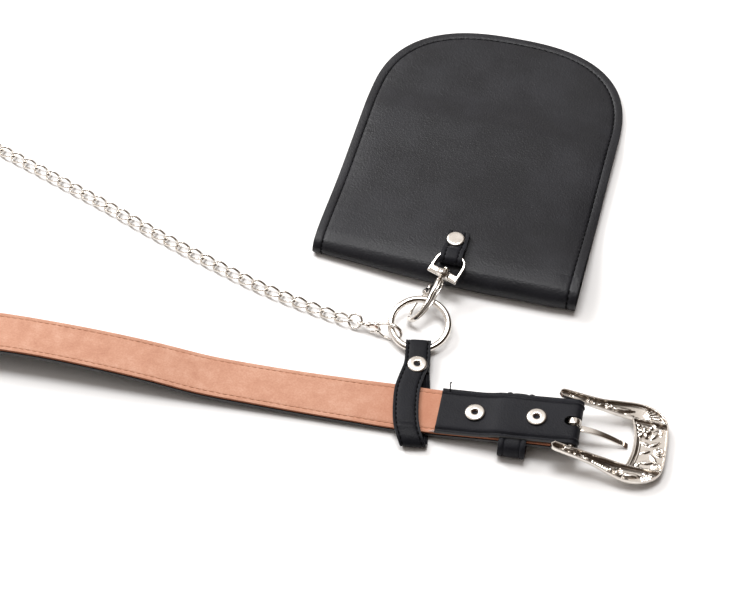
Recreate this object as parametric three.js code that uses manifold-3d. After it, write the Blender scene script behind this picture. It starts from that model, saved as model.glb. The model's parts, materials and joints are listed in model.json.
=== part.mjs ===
// Waist bag laid out flat: an arched leather pouch on a snap hook, an O-ring on a leather hanger,
// a lined belt with a western buckle, and a curb chain clipped to the ring.
// Millimetres, +Z up. The layout is worked out with its zero in the middle of the pouch's fold,
// +X along the fold towards the buckle and +Y towards the arched end; the whole is moved at the end,
// so that the part's origin is the middle of its footprint, on the ground.
import * as THREE from 'three';
import { mergeVertices } from 'three/addons/utils/BufferGeometryUtils.js';
import Module from 'manifold-3d';

const wasm = await Module();
wasm.setup();

// ---------------------------------------------------------------- driving dimensions
const GAP = 0.3;                         // clearance between pieces that touch
const DEG = Math.PI / 180;

const POUCH = {
  halfWidth: 66.5, straight: 110, arch: 61.2, squareness: 2.55, wall: 1.5,
  fold: 4.6,                             // radius of the fold at the chain's side
  swell: 1.5, forward: 5,                // how much fatter and further out it is at the buckle's side
  mouth: 14,                             // the front panel's free edge, from the fold
  flap: 100, flapCorner: 34,             // length of the flap and of its rounded corners
};

const TAB = { x: 3.2, width: 10.4, wall: 1.2, rivet: [2.4, 15.1], cap: 4.4 };

// The snap hook's axis: from the eye, down to the nose. The eye lies flat, the hook leans.
const HOOK = { at: [1.2, -5.7, 12.6], heading: -110, pitch: -16, lean: 45 };
const EYE = { width: 16, far: 12.2, base: 3, wire: 1.5, corner: 6.2, thick: 1.5, bore: 1.45 };

const RING = { radius: 13.8, wire: 1.7, at: [-3.7, -33.4, 5.75], tilt: 9.5, high: 104 };

const BELT = {
  width: 25, outer: 1.3, lining: 1.2, tip: -272, tipLength: 15,
  hole: 1.5, holes: [-248, -228, -208],  // radius and places of the punched holes
};

const FLAP_END = 17.5;                   // where the folded end stops on the lining
const LINING_END = 72.5;                 // the lining stops short of the buckle bar
const KEEPER = { x: 53.7, width: 12.5, wall: 1.1, height: 3.72, clear: 0.12 };
const HANGER = { heading: -78.6, width: 12, wall: 1.3, rivet: 11.6, under: 3.1 };
const RIVET = { cap: 4.7, shank: 1.4, hole: 1.0, dome: 0.7, edge: 0.25, seat: 0.42, sides: 14 };

const BUCKLE = {
  at: [80.2, -77.1, 11.3], heading: 3.57, pitch: 16.5, bar: 1.7,
  face: -2.6, top: 1.8, sheet: 1.2, wall: 1.1,   // heights are from the bar's axis
  inner: 13.2, window: 27, bulge: 2.4, armEnd: -5.6, plate: 30.5, plateHalf: 12.5, seatHalf: 3,
  bow: [28.8, 22.8], bowTurn: 6.3,           // where the frame bends up towards its end plate, each time
};
const PRONG = { width: 3.2, wall: 1.4, side: 0.5, slot: 5.2, slotBack: 8.5 };

const LINK = { count: 30, pitch: 7.6, wire: 0.6, halfWidth: 2.55, twist: -1.15, height: 1.9,
  endPitch: 7, endRoll: 8 };             // the two end links rise to their jump rings
LINK.halfLength = (LINK.pitch + 2 * LINK.wire + 0.5) / 2;
const JUMP = { radius: 3.4, wire: 0.6, lean: 45, height: 3.7 };
JUMP.reach = LINK.halfLength - LINK.wire - 2 * GAP - JUMP.wire + JUMP.radius;

const CLASP = { heading: -7.8, pitch: 6, lean: 70, eyeLean: -40 };
const CLASP_EYE = { radius: 1.75, wire: 0.6, post: 0.65, bore: 1.0 };

// ---------------------------------------------------------------- materials
const finish = (color, roughness, metalness) =>
  new THREE.MeshStandardMaterial({ color, roughness, metalness });
const leather = finish(0x17171a, 0.5, 0);
const lining = finish(0xc58a66, 0.85, 0);
const nickel = finish(0xd8d3cc, 0.18, 1);

// ---------------------------------------------------------------- shape helpers
const vec = (x, y, z = 0) => new THREE.Vector3(x, y, z);
const heading = (degrees) => vec(Math.cos(degrees * DEG), Math.sin(degrees * DEG));

function smooth(low, high, value) {
  return THREE.MathUtils.smoothstep(value, low, high);
}

function geometryOf(points, triangles) {
  const geometry = new THREE.BufferGeometry();
  geometry.setAttribute('position', new THREE.Float32BufferAttribute(points.flatMap((p) => p.toArray()), 3));
  geometry.setIndex(triangles);
  return geometry;
}

// A sheet of even thickness about a middle surface, surface(u, w) with u and w from 0 to 1.
function sheet(rows, cols, wall, surface) {
  const grid = [];
  for (let i = 0; i <= rows; i++) {
    grid.push(Array.from({ length: cols + 1 }, (_, j) => surface(i / rows, j / cols)));
  }
  const points = [];
  const near = (value, last) => [Math.max(value - 1, 0), Math.min(value + 1, last)];
  for (let i = 0; i <= rows; i++) {
    for (let j = 0; j <= cols; j++) {
      const [i0, i1] = near(i, rows);
      const [j0, j1] = near(j, cols);
      const along = grid[i1][j].clone().sub(grid[i0][j]);
      const across = grid[i][j1].clone().sub(grid[i][j0]);
      const out = across.cross(along).normalize().multiplyScalar(wall / 2);
      points.push(grid[i][j].clone().add(out), grid[i][j].clone().sub(out));
    }
  }
  const top = (i, j) => 2 * (i * (cols + 1) + j);
  const low = (i, j) => top(i, j) + 1;
  const triangles = [];
  const quad = (a, b, c, d) => triangles.push(a, b, c, a, c, d);
  for (let i = 0; i < rows; i++) {
    for (let j = 0; j < cols; j++) {
      quad(top(i, j), top(i, j + 1), top(i + 1, j + 1), top(i + 1, j));
      quad(low(i, j), low(i + 1, j), low(i + 1, j + 1), low(i, j + 1));
    }
    quad(low(i + 1, 0), low(i, 0), top(i, 0), top(i + 1, 0));
    quad(low(i, cols), low(i + 1, cols), top(i + 1, cols), top(i, cols));
  }
  for (let j = 0; j < cols; j++) {
    quad(low(0, j), low(0, j + 1), top(0, j + 1), top(0, j));
    quad(low(rows, j + 1), low(rows, j), top(rows, j), top(rows, j + 1));
  }
  return geometryOf(points, triangles);
}

// A strap: a sheet of the given width along a smooth path, with its width along across(point).
function strap(points, across, width, wall, rows) {
  const path = new THREE.CatmullRomCurve3(points, false, 'centripetal');
  return sheet(rows, 1, wall, (u, w) => {
    const at = path.getPointAt(u);
    return at.addScaledVector(across(at), (0.5 - w) * width);
  });
}

// A rod with oval sections along a plane curve. Rows: x, y, width in the plane, thickness across it.
function rod(rows, sides = 8) {
  const points = [];
  rows.forEach(([x, y, wide, thick], i) => {
    const a = rows[Math.max(i - 1, 0)];
    const b = rows[Math.min(i + 1, rows.length - 1)];
    const side = vec(a[1] - b[1], b[0] - a[0]).normalize();
    for (let k = 0; k < sides; k++) {
      const turn = (2 * Math.PI * (k + 0.5)) / sides;
      points.push(vec(x, y).addScaledVector(side, (wide / 2) * Math.cos(turn))
        .add(vec(0, 0, (thick / 2) * Math.sin(turn))));
    }
  });
  const first = points.push(vec(rows[0][0], rows[0][1])) - 1;
  const end = rows[rows.length - 1];
  const last = points.push(vec(end[0], end[1])) - 1;
  const triangles = [];
  for (let k = 0; k < sides; k++) {
    const next = (k + 1) % sides;
    for (let i = 0; i < rows.length - 1; i++) {
      const [a, b] = [i * sides, (i + 1) * sides];
      triangles.push(a + k, b + next, b + k, a + k, a + next, b + next);
    }
    const tail = (rows.length - 1) * sides;
    triangles.push(first, next, k, last, tail + k, tail + next);
  }
  return geometryOf(points, triangles);
}

// Rows of a rod bent smoothly through a few stations of the same columns.
function bend(stations, steps) {
  const place = new THREE.CatmullRomCurve3(stations.map(([x, y]) => vec(x, y)), false, 'centripetal');
  const size = new THREE.CatmullRomCurve3(stations.map(([, , wide, thick]) => vec(wide, thick)));
  return Array.from({ length: steps + 1 }, (_, i) => {
    const at = place.getPoint(i / steps);
    const section = size.getPoint(i / steps);
    return [at.x, at.y, section.x, section.y];
  });
}

function cylinder(radius, from, to, sides = 16) {
  const along = to.clone().sub(from);
  const turn = new THREE.Quaternion().setFromUnitVectors(vec(0, 1), along.clone().normalize());
  return new THREE.CylinderGeometry(radius, radius, along.length(), sides)
    .applyQuaternion(turn)
    .translate(...from.clone().add(to).multiplyScalar(0.5).toArray());
}

function box(low, high) {
  const size = vec(...high).sub(vec(...low));
  const middle = vec(...high).add(vec(...low)).multiplyScalar(0.5);
  return new THREE.BoxGeometry(...size.toArray()).translate(...middle.toArray());
}

function plate(shape, low, high, curveSegments = 8) {
  return new THREE.ExtrudeGeometry(shape, { depth: high - low, bevelEnabled: false, curveSegments })
    .translate(0, 0, low);
}

// ---------------------------------------------------------------- joins and cuts
function solid(geometry) {
  const bare = geometry.clone();
  bare.deleteAttribute('normal');
  bare.deleteAttribute('uv');
  const merged = mergeVertices(bare, 1e-4);
  return new wasm.Manifold(new wasm.Mesh({
    numProp: 3,
    vertProperties: Float32Array.from(merged.attributes.position.array),
    triVerts: Uint32Array.from(merged.index.array),
  }));
}

function geometryFrom(manifold) {
  const mesh = manifold.getMesh();
  const geometry = new THREE.BufferGeometry();
  geometry.setAttribute('position', new THREE.BufferAttribute(mesh.vertProperties, 3));
  geometry.setIndex(new THREE.BufferAttribute(mesh.triVerts, 1));
  return geometry;
}

function join(...geometries) {
  return geometryFrom(geometries.map(solid).reduce((a, b) => a.add(b)));
}

function cut(geometry, ...tools) {
  return geometryFrom(tools.map(solid).reduce((a, b) => a.subtract(b), solid(geometry)));
}

function common(a, b) {
  return geometryFrom(solid(a).intersect(solid(b)));
}

// ---------------------------------------------------------------- the layout and its pieces
const layout = new THREE.Group();

function piece(name, geometry, material, parent = layout) {
  const mesh = new THREE.Mesh(geometry, material);
  mesh.name = name;
  parent.add(mesh);
  return mesh;
}

// A group whose x axis runs along one direction, with its y axis in the plane of a second one.
function frameAt(at, along, side) {
  const x = along.clone().normalize();
  const z = x.clone().cross(side).normalize();
  const group = new THREE.Group();
  group.position.copy(at);
  group.quaternion.setFromRotationMatrix(new THREE.Matrix4().makeBasis(x, z.clone().cross(x), z));
  layout.add(group);
  return group;
}

// ---------------------------------------------------------------- pouch
function archedHalfWidth(y, straight, arch) {
  const rise = Math.min(Math.max((y - straight) / arch, 0), 1);
  return POUCH.halfWidth * (1 - rise ** POUCH.squareness) ** (1 / POUCH.squareness);
}

// Underside of the front panel: on the flap, then down to the ground past the flap's end.
function frontBase(y) {
  return (POUCH.wall + GAP) * (1 - smooth(POUCH.flap + 1, POUCH.flap + 20, y));
}

// The fold is fatter from the middle to the buckle's side, and stands further out there.
function foldAt(x) {
  const share = smooth(-POUCH.halfWidth, 0, x);
  const radius = POUCH.fold + POUCH.swell * share;
  return { radius, middle: radius - POUCH.forward * share };
}

// Inside height of the pocket: full at the mouth, pinched at the stitched sides and arch.
function cavityAt(x, y) {
  const side = Math.abs(x) / POUCH.halfWidth;
  const mouth = 2 * foldAt(x).radius - 3 * POUCH.wall - 2 * GAP;
  return mouth * (1 - smooth(20, 150, y)) * (1 - smooth(10, 60, y) * side ** 3);
}

// Each row of a panel is its half-width and a place for x, from the flap's end or from the mouth.
const ARCH_ROWS = [0.12, 0.25, 0.4, 0.55, 0.7, 0.85, 1];

function archedRows(place) {
  return ARCH_ROWS.map((t) => {
    const y = POUCH.straight + POUCH.arch * (1 - (1 - t) ** 2) * 0.998;
    return { half: archedHalfWidth(y, POUCH.straight, POUCH.arch), place: place(y) };
  });
}

function straightRows(lengths, place) {
  return lengths.map((y) => ({ half: POUCH.halfWidth, place: place(y) }));
}

function panel(rows, cols) {
  return sheet(rows.length - 1, cols, POUCH.wall, (u, w) => {
    const { half, place } = rows[Math.round(u * (rows.length - 1))];
    return place((2 * w - 1) * half);
  });
}

function pouchBack() {
  const low = (y) => (x) => vec(x, y, POUCH.wall / 2);
  const high = (y) => (x) =>
    vec(x, y, frontBase(y) + 1.5 * POUCH.wall + GAP + cavityAt(x, y));
  const flap = [0, 1, 5, 13, 24, 38, 70, 88].map((back) => {
    const y = POUCH.flap - back;
    return { half: archedHalfWidth(y - 0.2, POUCH.flap - POUCH.flapCorner, POUCH.flapCorner), place: low(y) };
  });
  const fold = [0, 1, 2, 3, 4, 5, 6].map((step) => {
    const turn = (-90 - 30 * step) * DEG;
    const place = (x) => {
      const { radius, middle } = foldAt(x);
      const reach = radius - POUCH.wall / 2;
      return vec(x, middle + reach * Math.cos(turn), radius + reach * Math.sin(turn));
    };
    return { half: POUCH.halfWidth, place };
  });
  const top = straightRows([9, 16, 26, 38, 52, 68, 86, 100, POUCH.straight], high);
  return panel([...flap, ...fold, ...top, ...archedRows(high)], 10);
}

function pouchFront() {
  const place = (y) => (x) => vec(x, y, frontBase(y) + POUCH.wall / 2);
  return panel([...straightRows([POUCH.mouth, 50, 86, 100, POUCH.straight], place), ...archedRows(place)], 6);
}

// ---------------------------------------------------------------- rivets
// Rivet: a cap on each side of a stack from z = 0 to z = span; a tubular one has a blind hole.
function rivet(span, cap, hole) {
  const low = -RIVET.seat;
  const high = span + RIVET.seat;
  const profile = [
    [0, low - RIVET.dome], [cap - 0.8, low - RIVET.dome], [cap, low - RIVET.edge],
    [cap, low], [RIVET.shank, low], [RIVET.shank, high], [cap, high],
    [cap, high + RIVET.edge], [cap - 0.9, high + RIVET.dome],
  ];
  if (hole) profile.push([hole, high + RIVET.dome - 0.1], [hole, high - 0.6], [0, high - 0.6]);
  else profile.push([0, high + RIVET.dome]);
  return new THREE.LatheGeometry(profile.map(([r, z]) => new THREE.Vector2(r, z)), RIVET.sides)
    .rotateX(Math.PI / 2);
}

// Bores a hole along one direction, from a reach behind a point to a reach ahead of it.
function bore(geometry, at, direction, [behind, ahead] = [12, 12], radius = RIVET.shank + GAP) {
  const from = at.clone().addScaledVector(direction, -behind);
  const to = at.clone().addScaledVector(direction, ahead);
  return cut(geometry, cylinder(radius, from, to, 12));
}

function placeRivet(name, geometry, at, direction) {
  const mesh = piece(name, geometry, nickel);
  mesh.position.copy(at);
  mesh.quaternion.setFromUnitVectors(vec(0, 0, 1), direction);
}

// ---------------------------------------------------------------- tab on the pouch
// Side view of the tab: y, z of the middle of its wall, from the under layer's end round the eye.
const TAB_ROUTE = [
  [20.5, 13.15], [12, 13.15], [7, 13.15], [3.4, 13.15], [1, 13.6], [0, 15.2], [1, 16.8],
  [3.6, 17.4], [6.6, 17.4], [8.4, 16.4], [9.8, 14.95], [13, 14.65], [20.5, 14.65],
];

function tab() {
  const points = TAB_ROUTE.map(([y, z]) => vec(TAB.x, y, z));
  return strap(points, () => vec(1, 0), TAB.width, TAB.wall, 34);
}

// ---------------------------------------------------------------- snap hooks
// Both hooks are drawn in their own plane: x from the swivel to the nose, y to one side.
const HOOK_SHAPE = {
  post: { radius: 1.1, head: 1.75, from: -2.6, to: 3 },
  collar: { radius: 1.9, from: 2, to: 3.6 },
  body: [
    [3, -0.3, 3, 3], [5.5, -1.4, 4.2, 3], [8.5, -2.1, 4.8, 3], [11, -2.6, 4.2, 3],
    [13.2, -3.7, 2.5, 2.8], [16.5, -4.7, 2.3, 2.6], [21, -4.7, 2.2, 2.4], [25.3, -3.3, 2.1, 2.3],
    [27.9, -0.4, 2, 2.2], [28, 2.4, 1.9, 2.1], [26.9, 4.3, 1.7, 1.9],
  ],
  gate: [
    [11.8, 3.3, 1.6, 1.2], [14.3, 5.1, 1.5, 1.3], [18, 6.6, 1.4, 1.4], [21.8, 6.4, 1.4, 1.4],
    [24.6, 4.9, 1.3, 1.3],
  ],
  thumb: [[11.8, 3.3, 1.6, 1.2], [10, 4.2, 1.4, 1.2], [8, 4.8, 1.6, 1.6], [7, 5.1, 1.2, 1.4]],
  hinge: { x: 11.8, y: 3.3, barrel: 1.5, half: 0.7, ear: 0.8, root: 1.8, pin: 0.55, hole: 0.85 },
};

const CLASP_SHAPE = {
  collar: { radius: 1.5, from: 2.6, to: 4.6 },
  body: [
    [4.4, 0.2, 2.6, 2.2], [6, 0.6, 3.2, 2.2], [8, 1.1, 2.8, 2.2], [10, 2.5, 1.6, 1.9],
    [13.5, 3.5, 1.4, 1.7], [17.1, 3.2, 1.4, 1.6], [19.8, 1.6, 1.3, 1.5], [20.7, -0.3, 1.2, 1.4],
    [20.5, -1.9, 1.1, 1.3], [19.9, -3, 1, 1.1],
  ],
  gate: [[8.6, -1.8, 1.2, 0.9], [10.5, -3.5, 1, 1], [13.5, -4.3, 1, 1], [17.8, -4, 0.9, 0.9]],
  thumb: [[8.6, -1.8, 1.2, 0.9], [7, -2.7, 1, 0.9], [5.4, -3.2, 1.2, 1.2], [4.8, -3.5, 0.9, 1.1]],
  hinge: { x: 8.6, y: -1.8, barrel: 1.1, half: 0.45, ear: 0.6, root: 1.8, pin: 0.5, hole: 0.8 },
};

function disc(x, y, radius, low, high, sides = 14) {
  return cylinder(radius, vec(x, y, low), vec(x, y, high), sides);
}

function snapBody({ post, collar, body, hinge }) {
  const inner = hinge.half + GAP;
  const outer = inner + hinge.ear;
  const side = Math.sign(hinge.y);
  const root = -hinge.root * side;
  const reach = hinge.y + side * hinge.barrel * 0.2;
  const ears = [[-outer, -inner], [inner, outer]].flatMap(([low, high]) => [
    disc(hinge.x, hinge.y, hinge.barrel + 0.1, low, high),
    box(
      [hinge.x - hinge.barrel * 1.3, Math.min(root, reach), low],
      [hinge.x + hinge.barrel * 0.6, Math.max(root, reach), high],
    ),
  ]);
  const parts = [
    cylinder(collar.radius, vec(collar.from, 0), vec(collar.to, 0), 14),
    rod(bend(body, 18)),
    disc(hinge.x, hinge.y, hinge.pin, -inner - 0.1, inner + 0.1, 10),
    ...ears,
  ];
  if (post) {
    parts.push(cylinder(post.radius, vec(post.from, 0), vec(post.to, 0), 14));
    parts.push(cylinder(post.head, vec(post.from - 0.8, 0), vec(post.from, 0), 14));
  }
  return join(...parts);
}

function snapGate({ gate, thumb, hinge }) {
  const barrel = disc(hinge.x, hinge.y, hinge.barrel, -hinge.half, hinge.half);
  const hole = disc(hinge.x, hinge.y, hinge.hole, -3, 3, 12);
  return cut(join(barrel, rod(bend(gate, 8), 6), rod(bend(thumb, 4), 6)), hole);
}

function eyeOutline(inset) {
  const half = EYE.width / 2 - inset;
  const back = -EYE.far + inset;
  const radius = EYE.corner - inset;
  const front = EYE.base / 2 - (inset ? EYE.base : 0);
  const shape = new THREE.Shape();
  shape.moveTo(front, -half);
  shape.lineTo(front, half);
  shape.absarc(back + radius, half - radius, radius, 0.5 * Math.PI, Math.PI);
  shape.absarc(back + radius, radius - half, radius, Math.PI, 1.5 * Math.PI);
  shape.closePath();
  return shape;
}

function hookEye() {
  const shape = eyeOutline(0);
  shape.holes.push(eyeOutline(EYE.wire));
  const boss = cylinder(2.5, vec(-EYE.base / 2, 0), vec(EYE.base / 2, 0), 14);
  const hole = cylinder(EYE.bore, vec(-5, 0), vec(5, 0), 14);
  return cut(join(plate(shape, -EYE.thick / 2, EYE.thick / 2, 6), boss), hole);
}

function axisOf({ heading: turn, pitch }) {
  return heading(turn).multiplyScalar(Math.cos(pitch * DEG)).add(vec(0, 0, Math.sin(pitch * DEG)));
}

function leaning(direction, lean) {
  return direction.multiplyScalar(Math.cos(lean * DEG)).add(vec(0, 0, Math.sin(lean * DEG)));
}

// ---------------------------------------------------------------- belt
// The belt lies lining up. Rows: x, y, height of the underside, roll that lifts the near edge.
const BELT_ROUTE = [
  [-272, -95.5, 0.6, 0], [-250, -95.4, 3, 4], [-225, -94.6, 7, 8], [-198, -92.9, 9.4, 9],
  [-173, -91.2, 9.2, 10], [-147, -89.9, 8, 9], [-121, -88.9, 6, 8], [-95, -88.0, 2.9, 7],
  [-70, -86.47, 1.7, 6], [-46, -84.97, 1.3, 4], [-22, -83.47, 1.6, 1], [-4, -82.35, 2, -2],
  [16, -81.1, 2.7, -1], [35, -79.91, 4.4, 0], [55, -78.67, 6.3, 0], [70, -77.73, 7.4, 0],
  [80, -77.11, 8, 0], [90, -76.49, 8.1, 0],
];

// Smooth interpolation in a table by its first column.
function spline(table, value, column) {
  const last = table.length - 1;
  const found = table.findIndex((row) => row[0] > value);
  const i = Math.min(Math.max(found < 0 ? last : found, 1), last);
  const slope = (k) => {
    const [a, b] = [table[Math.max(k - 1, 0)], table[Math.min(k + 1, last)]];
    return (b[column] - a[column]) / (b[0] - a[0]);
  };
  const [a, b] = [table[i - 1], table[i]];
  const step = b[0] - a[0];
  const t = (value - a[0]) / step;
  const rise = b[column] - a[column];
  const [m0, m1] = [slope(i - 1) * step, slope(i) * step];
  return a[column] + t * m0 + t * t * (3 * rise - 2 * m0 - m1) + t * t * t * (m0 + m1 - 2 * rise);
}

function beltFrame(x) {
  const under = (at) => vec(at, spline(BELT_ROUTE, at, 1), spline(BELT_ROUTE, at, 2));
  const along = under(x + 0.5).sub(under(x - 0.5)).normalize();
  const roll = spline(BELT_ROUTE, x, 3) * DEG;
  const level = vec(along.y, -along.x).normalize();
  const across = level.multiplyScalar(Math.cos(roll)).add(vec(0, 0, Math.sin(roll)));
  return { under: under(x), along, across, up: across.clone().cross(along).normalize() };
}

function tipHalfWidth(x) {
  const inside = Math.min((x - BELT.tip) / BELT.tipLength, 1);
  return (BELT.width / 2) * Math.max(inside, 0.02) ** 0.55;
}

// A row of the belt at x, its middle surface at a height over the underside.
function beltRow(x, height) {
  const { under, across, up } = beltFrame(x);
  return { middle: under.addScaledVector(up, height), across, half: tipHalfWidth(x) };
}

function beltSheet(rows, wall, inset = 0) {
  return sheet(rows.length - 1, 1, wall, (u, w) => {
    const { middle, across, half } = rows[Math.round(u * (rows.length - 1))];
    return middle.clone().addScaledVector(across, (2 * w - 1) * (half - inset));
  });
}

const BELT_STEPS = [0.4, 2, 5, 9, 15, 22, 34, 47, 60, 74, 87, 99, 112, 125, 138, 151, 164, 177, 190, 202, 214,
  226, 238, 250, 259, 268, 278, 288, 298, 307, 317, 327, 335, LINING_END - BELT.tip];

// Heights of the folded end's middle surface over the underside: it steps up over the keeper.
const FLAP_ROUTE = [
  [FLAP_END, 3.75], [28, 3.75], [37, 3.75], [42, 4.3], [46.5, 5.25], [60.5, 5.25], [70, 5.45],
];

function foldRow(turn) {
  const r = BUCKLE.bar + GAP + BELT.outer / 2;
  const middle = vec(...BUCKLE.at)
    .addScaledVector(heading(BUCKLE.heading), r * Math.cos(turn * DEG))
    .add(vec(0, 0, r * Math.sin(turn * DEG)));
  return { middle, across: heading(BUCKLE.heading - 90), half: BELT.width / 2 };
}

function beltHoles(geometry) {
  return BELT.holes.reduce((belt, x) => {
    const { under, up } = beltFrame(x);
    return bore(belt, under, up, [5, 5], BELT.hole);
  }, geometry);
}

function beltOuter() {
  const lower = BELT_STEPS.map((step) => beltRow(BELT.tip + step, BELT.outer / 2));
  const fold = [-90, -60, -30, 0, 30, 60, 90].map(foldRow);
  const upper = [...FLAP_ROUTE].reverse().map(([x, height]) => beltRow(x, height));
  const belt = beltHoles(beltSheet([...lower, ...fold, ...upper], BELT.outer));
  const [x, y, z] = BUCKLE.at;
  const slot = box([-PRONG.slotBack, -PRONG.slot / 2, -7], [7, PRONG.slot / 2, 7])
    .rotateZ(BUCKLE.heading * DEG).translate(x, y, z);
  return RIVET_ROWS.reduce((sheetSoFar, row) => bore(sheetSoFar, row.at, row.up), cut(belt, slot));
}

function beltLining() {
  const height = BELT.outer + GAP + BELT.lining / 2;
  const rows = BELT_STEPS.map((step) => beltRow(BELT.tip + step + 0.3, height));
  return RIVET_ROWS.reduce((sheetSoFar, row) => bore(sheetSoFar, row.at, row.up),
    beltHoles(beltSheet(rows, BELT.lining, 0.4)));
}

// Rivets through the folded end: name, x, height of the stack.
const RIVET_ROWS = [['belt_rivet_1', 34.6, 4.4], ['belt_rivet_2', 63.2, 5.9]].map(([name, x, span]) => {
  const { under, up } = beltFrame(x);
  return { name, span, at: under, up };
});

// Section of the keeper: distance towards the near side, share of its height from ground to top.
const KEEPER_ROUTE = [
  [3, 1], [9, 1], [13, 0.995], [16.4, 0.84], [17.6, 0.49], [16, 0.135], [12, 0.01], [4, 0], [-6, 0],
  [-11, 0.05], [-14.6, 0.32], [-15.2, 0.66], [-13.6, 0.943], [-10, 1], [-3, 1],
];

// The keeper's ends lie on the sloping lining, and its lower side is level with the ground.
function keeper() {
  const { under, along, across, up } = beltFrame(KEEPER.x);
  const low = KEEPER.wall / 2 + KEEPER.clear;
  const top = under.clone().addScaledVector(up, KEEPER.height).z;
  const points = KEEPER_ROUTE.map(([near, share]) =>
    vec(under.x, under.y).addScaledVector(across, near).setZ(low + share * (top - low)));
  const slope = (point) => heading(BUCKLE.heading)
    .lerp(along, smooth(low, top, Math.min(point.z, top))).normalize();
  return strap(points, slope, KEEPER.width, KEEPER.wall, 34);
}

// ---------------------------------------------------------------- ring and hanger
function ringAxis() {
  const slope = heading(RING.high).multiplyScalar(-Math.sin(RING.tilt * DEG));
  return slope.add(vec(0, 0, Math.cos(RING.tilt * DEG)));
}

// Route of the hanger from the ring wire: distance along, sideways, height over the ground.
const HANGER_ROUTE = [
  [14.5, -0.4, 4.75], [10.6, 0, 4.75], [7.6, 0, 4.6], [5, 0, 3.1], [2.8, 0, 1.2], [0, 0, 0.72],
  [-2.6, 0, 1], [-4.3, 0, 3.4], [-2.8, 0, 6.1], [0, 0, 6.45],
  [4, -0.1, 6.35], [10.3, -0.3, 6.35], [18, -2.4, 6.35], [25, -4, 6.4], [35, -4.4, 6.4],
  [44, -3.9, 6.3], [49.5, -2.8, 6.1], [53.4, -1.4, 5.1], [55.3, -0.2, 3.1], [53.4, 0.5, 1.1], [49, 0.6, 0.72],
  [40, 0.7, 0.68], [28, 0.7, 0.68], [22, 0.6, 1], [18.2, 0.3, 2.7],
  [14, 0, HANGER.under], [8.6, 0, HANGER.under],
];

function hangerStart() {
  const towards = heading(HANGER.heading).multiplyScalar(RING.radius * Math.cos(RING.tilt * DEG));
  return vec(RING.at[0], RING.at[1]).add(towards);
}

function hangerPoint([along, side, z]) {
  return hangerStart().addScaledVector(heading(HANGER.heading), along)
    .addScaledVector(heading(HANGER.heading + 90), side).add(vec(0, 0, z));
}

function hanger() {
  const across = heading(HANGER.heading + 90);
  return strap(HANGER_ROUTE.map(hangerPoint), () => across, HANGER.width, HANGER.wall, 54);
}

// ---------------------------------------------------------------- buckle
// Half of the frame's outline, from the arm's tip to the middle of the end plate: x, y.
const BUCKLE_EDGE = [
  [-7.8, 13.4], [-8.8, 14.6], [-7.8, 16], [-3.2, 16.7], [3.8, 17.3], [11.8, 18.6], [19.8, 20.8], [27.8, 22.3],
  [34.8, 21.7], [40.3, 19], [43.4, 15.4], [44.7, 10], [45.1, 0],
];

// The outline, or the same drawn inwards by an inset and left open at the arms' tips.
function edgeShape(inset) {
  const rows = inset ? BUCKLE_EDGE.slice(2) : BUCKLE_EDGE;
  const half = new THREE.CatmullRomCurve3(rows.map(([x, y]) => vec(x, y)), false, 'centripetal')
    .getPoints(inset ? 24 : 30);
  const outline = [...half, ...half.slice(0, -1).reverse().map((p) => vec(p.x, -p.y))];
  const last = outline.length - 1;
  return new THREE.Shape(outline.map((p, i) => {
    const along = outline[Math.min(i + 1, last)].clone().sub(outline[Math.max(i - 1, 0)]).normalize();
    return new THREE.Vector2(p.x + along.y * inset, p.y - along.x * inset);
  }));
}

// Bends a frame upwards past x, about the line where that plane meets the face.
const BEYOND = 60;                         // well past the buckle on every side

function kinked(geometry, x) {
  const near = common(geometry, box([-BEYOND, -BEYOND, -BEYOND], [x, BEYOND, BEYOND]));
  const far = common(geometry, box([x, -BEYOND, -BEYOND], [BEYOND, BEYOND, BEYOND]))
    .translate(-x, 0, -BUCKLE.face)
    .rotateY(-BUCKLE.bowTurn * DEG)
    .translate(x, 0, BUCKLE.face);
  return join(near, far);
}

function buckleFrame() {
  const floor = BUCKLE.face + BUCKLE.sheet;
  const slab = plate(edgeShape(0), BUCKLE.face, BUCKLE.top);
  const window = new THREE.Shape();
  window.moveTo(-BEYOND, -BUCKLE.inner);
  window.lineTo(BUCKLE.window, -BUCKLE.inner);
  window.quadraticCurveTo(BUCKLE.window + 2 * BUCKLE.bulge, 0, BUCKLE.window, BUCKLE.inner);
  window.lineTo(-BEYOND, BUCKLE.inner);
  const hollow = plate(edgeShape(BUCKLE.wall), floor, BUCKLE.top + 1);
  const arm = BUCKLE.inner + BUCKLE.wall;
  const pockets = [
    common(hollow, box([BUCKLE.armEnd, arm, floor], [BEYOND, BEYOND, BEYOND])),
    common(hollow, box([BUCKLE.armEnd, -BEYOND, floor], [BEYOND, -arm, BEYOND])),
    common(hollow, box([BUCKLE.plate, -BUCKLE.plateHalf, floor], [BEYOND, BUCKLE.plateHalf, BEYOND])),
  ];
  const bar = cylinder(BUCKLE.bar, vec(0, -arm, 0), vec(0, arm, 0), 16);
  const seat = BUCKLE.wall + 1;
  const seats = [BUCKLE.inner, -BUCKLE.inner - seat].map((y) =>
    box([-BUCKLE.seatHalf, y, floor - 0.2], [BUCKLE.seatHalf, y + seat, BUCKLE.top]));
  const flat = join(cut(slab, plate(window, -10, 10), ...pockets), bar, ...seats);
  return BUCKLE.bow.reduce(kinked, flat);
}

// Side view of the prong: x, height from the bar's axis; round the bar, then out to the tip.
const PRONG_ARM = [
  [2.4, -2.4], [5, -1.5], [9, -0.9], [14, -0.9], [19, -1.5], [23, -2.2], [26.4, -2.55],
];

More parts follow.
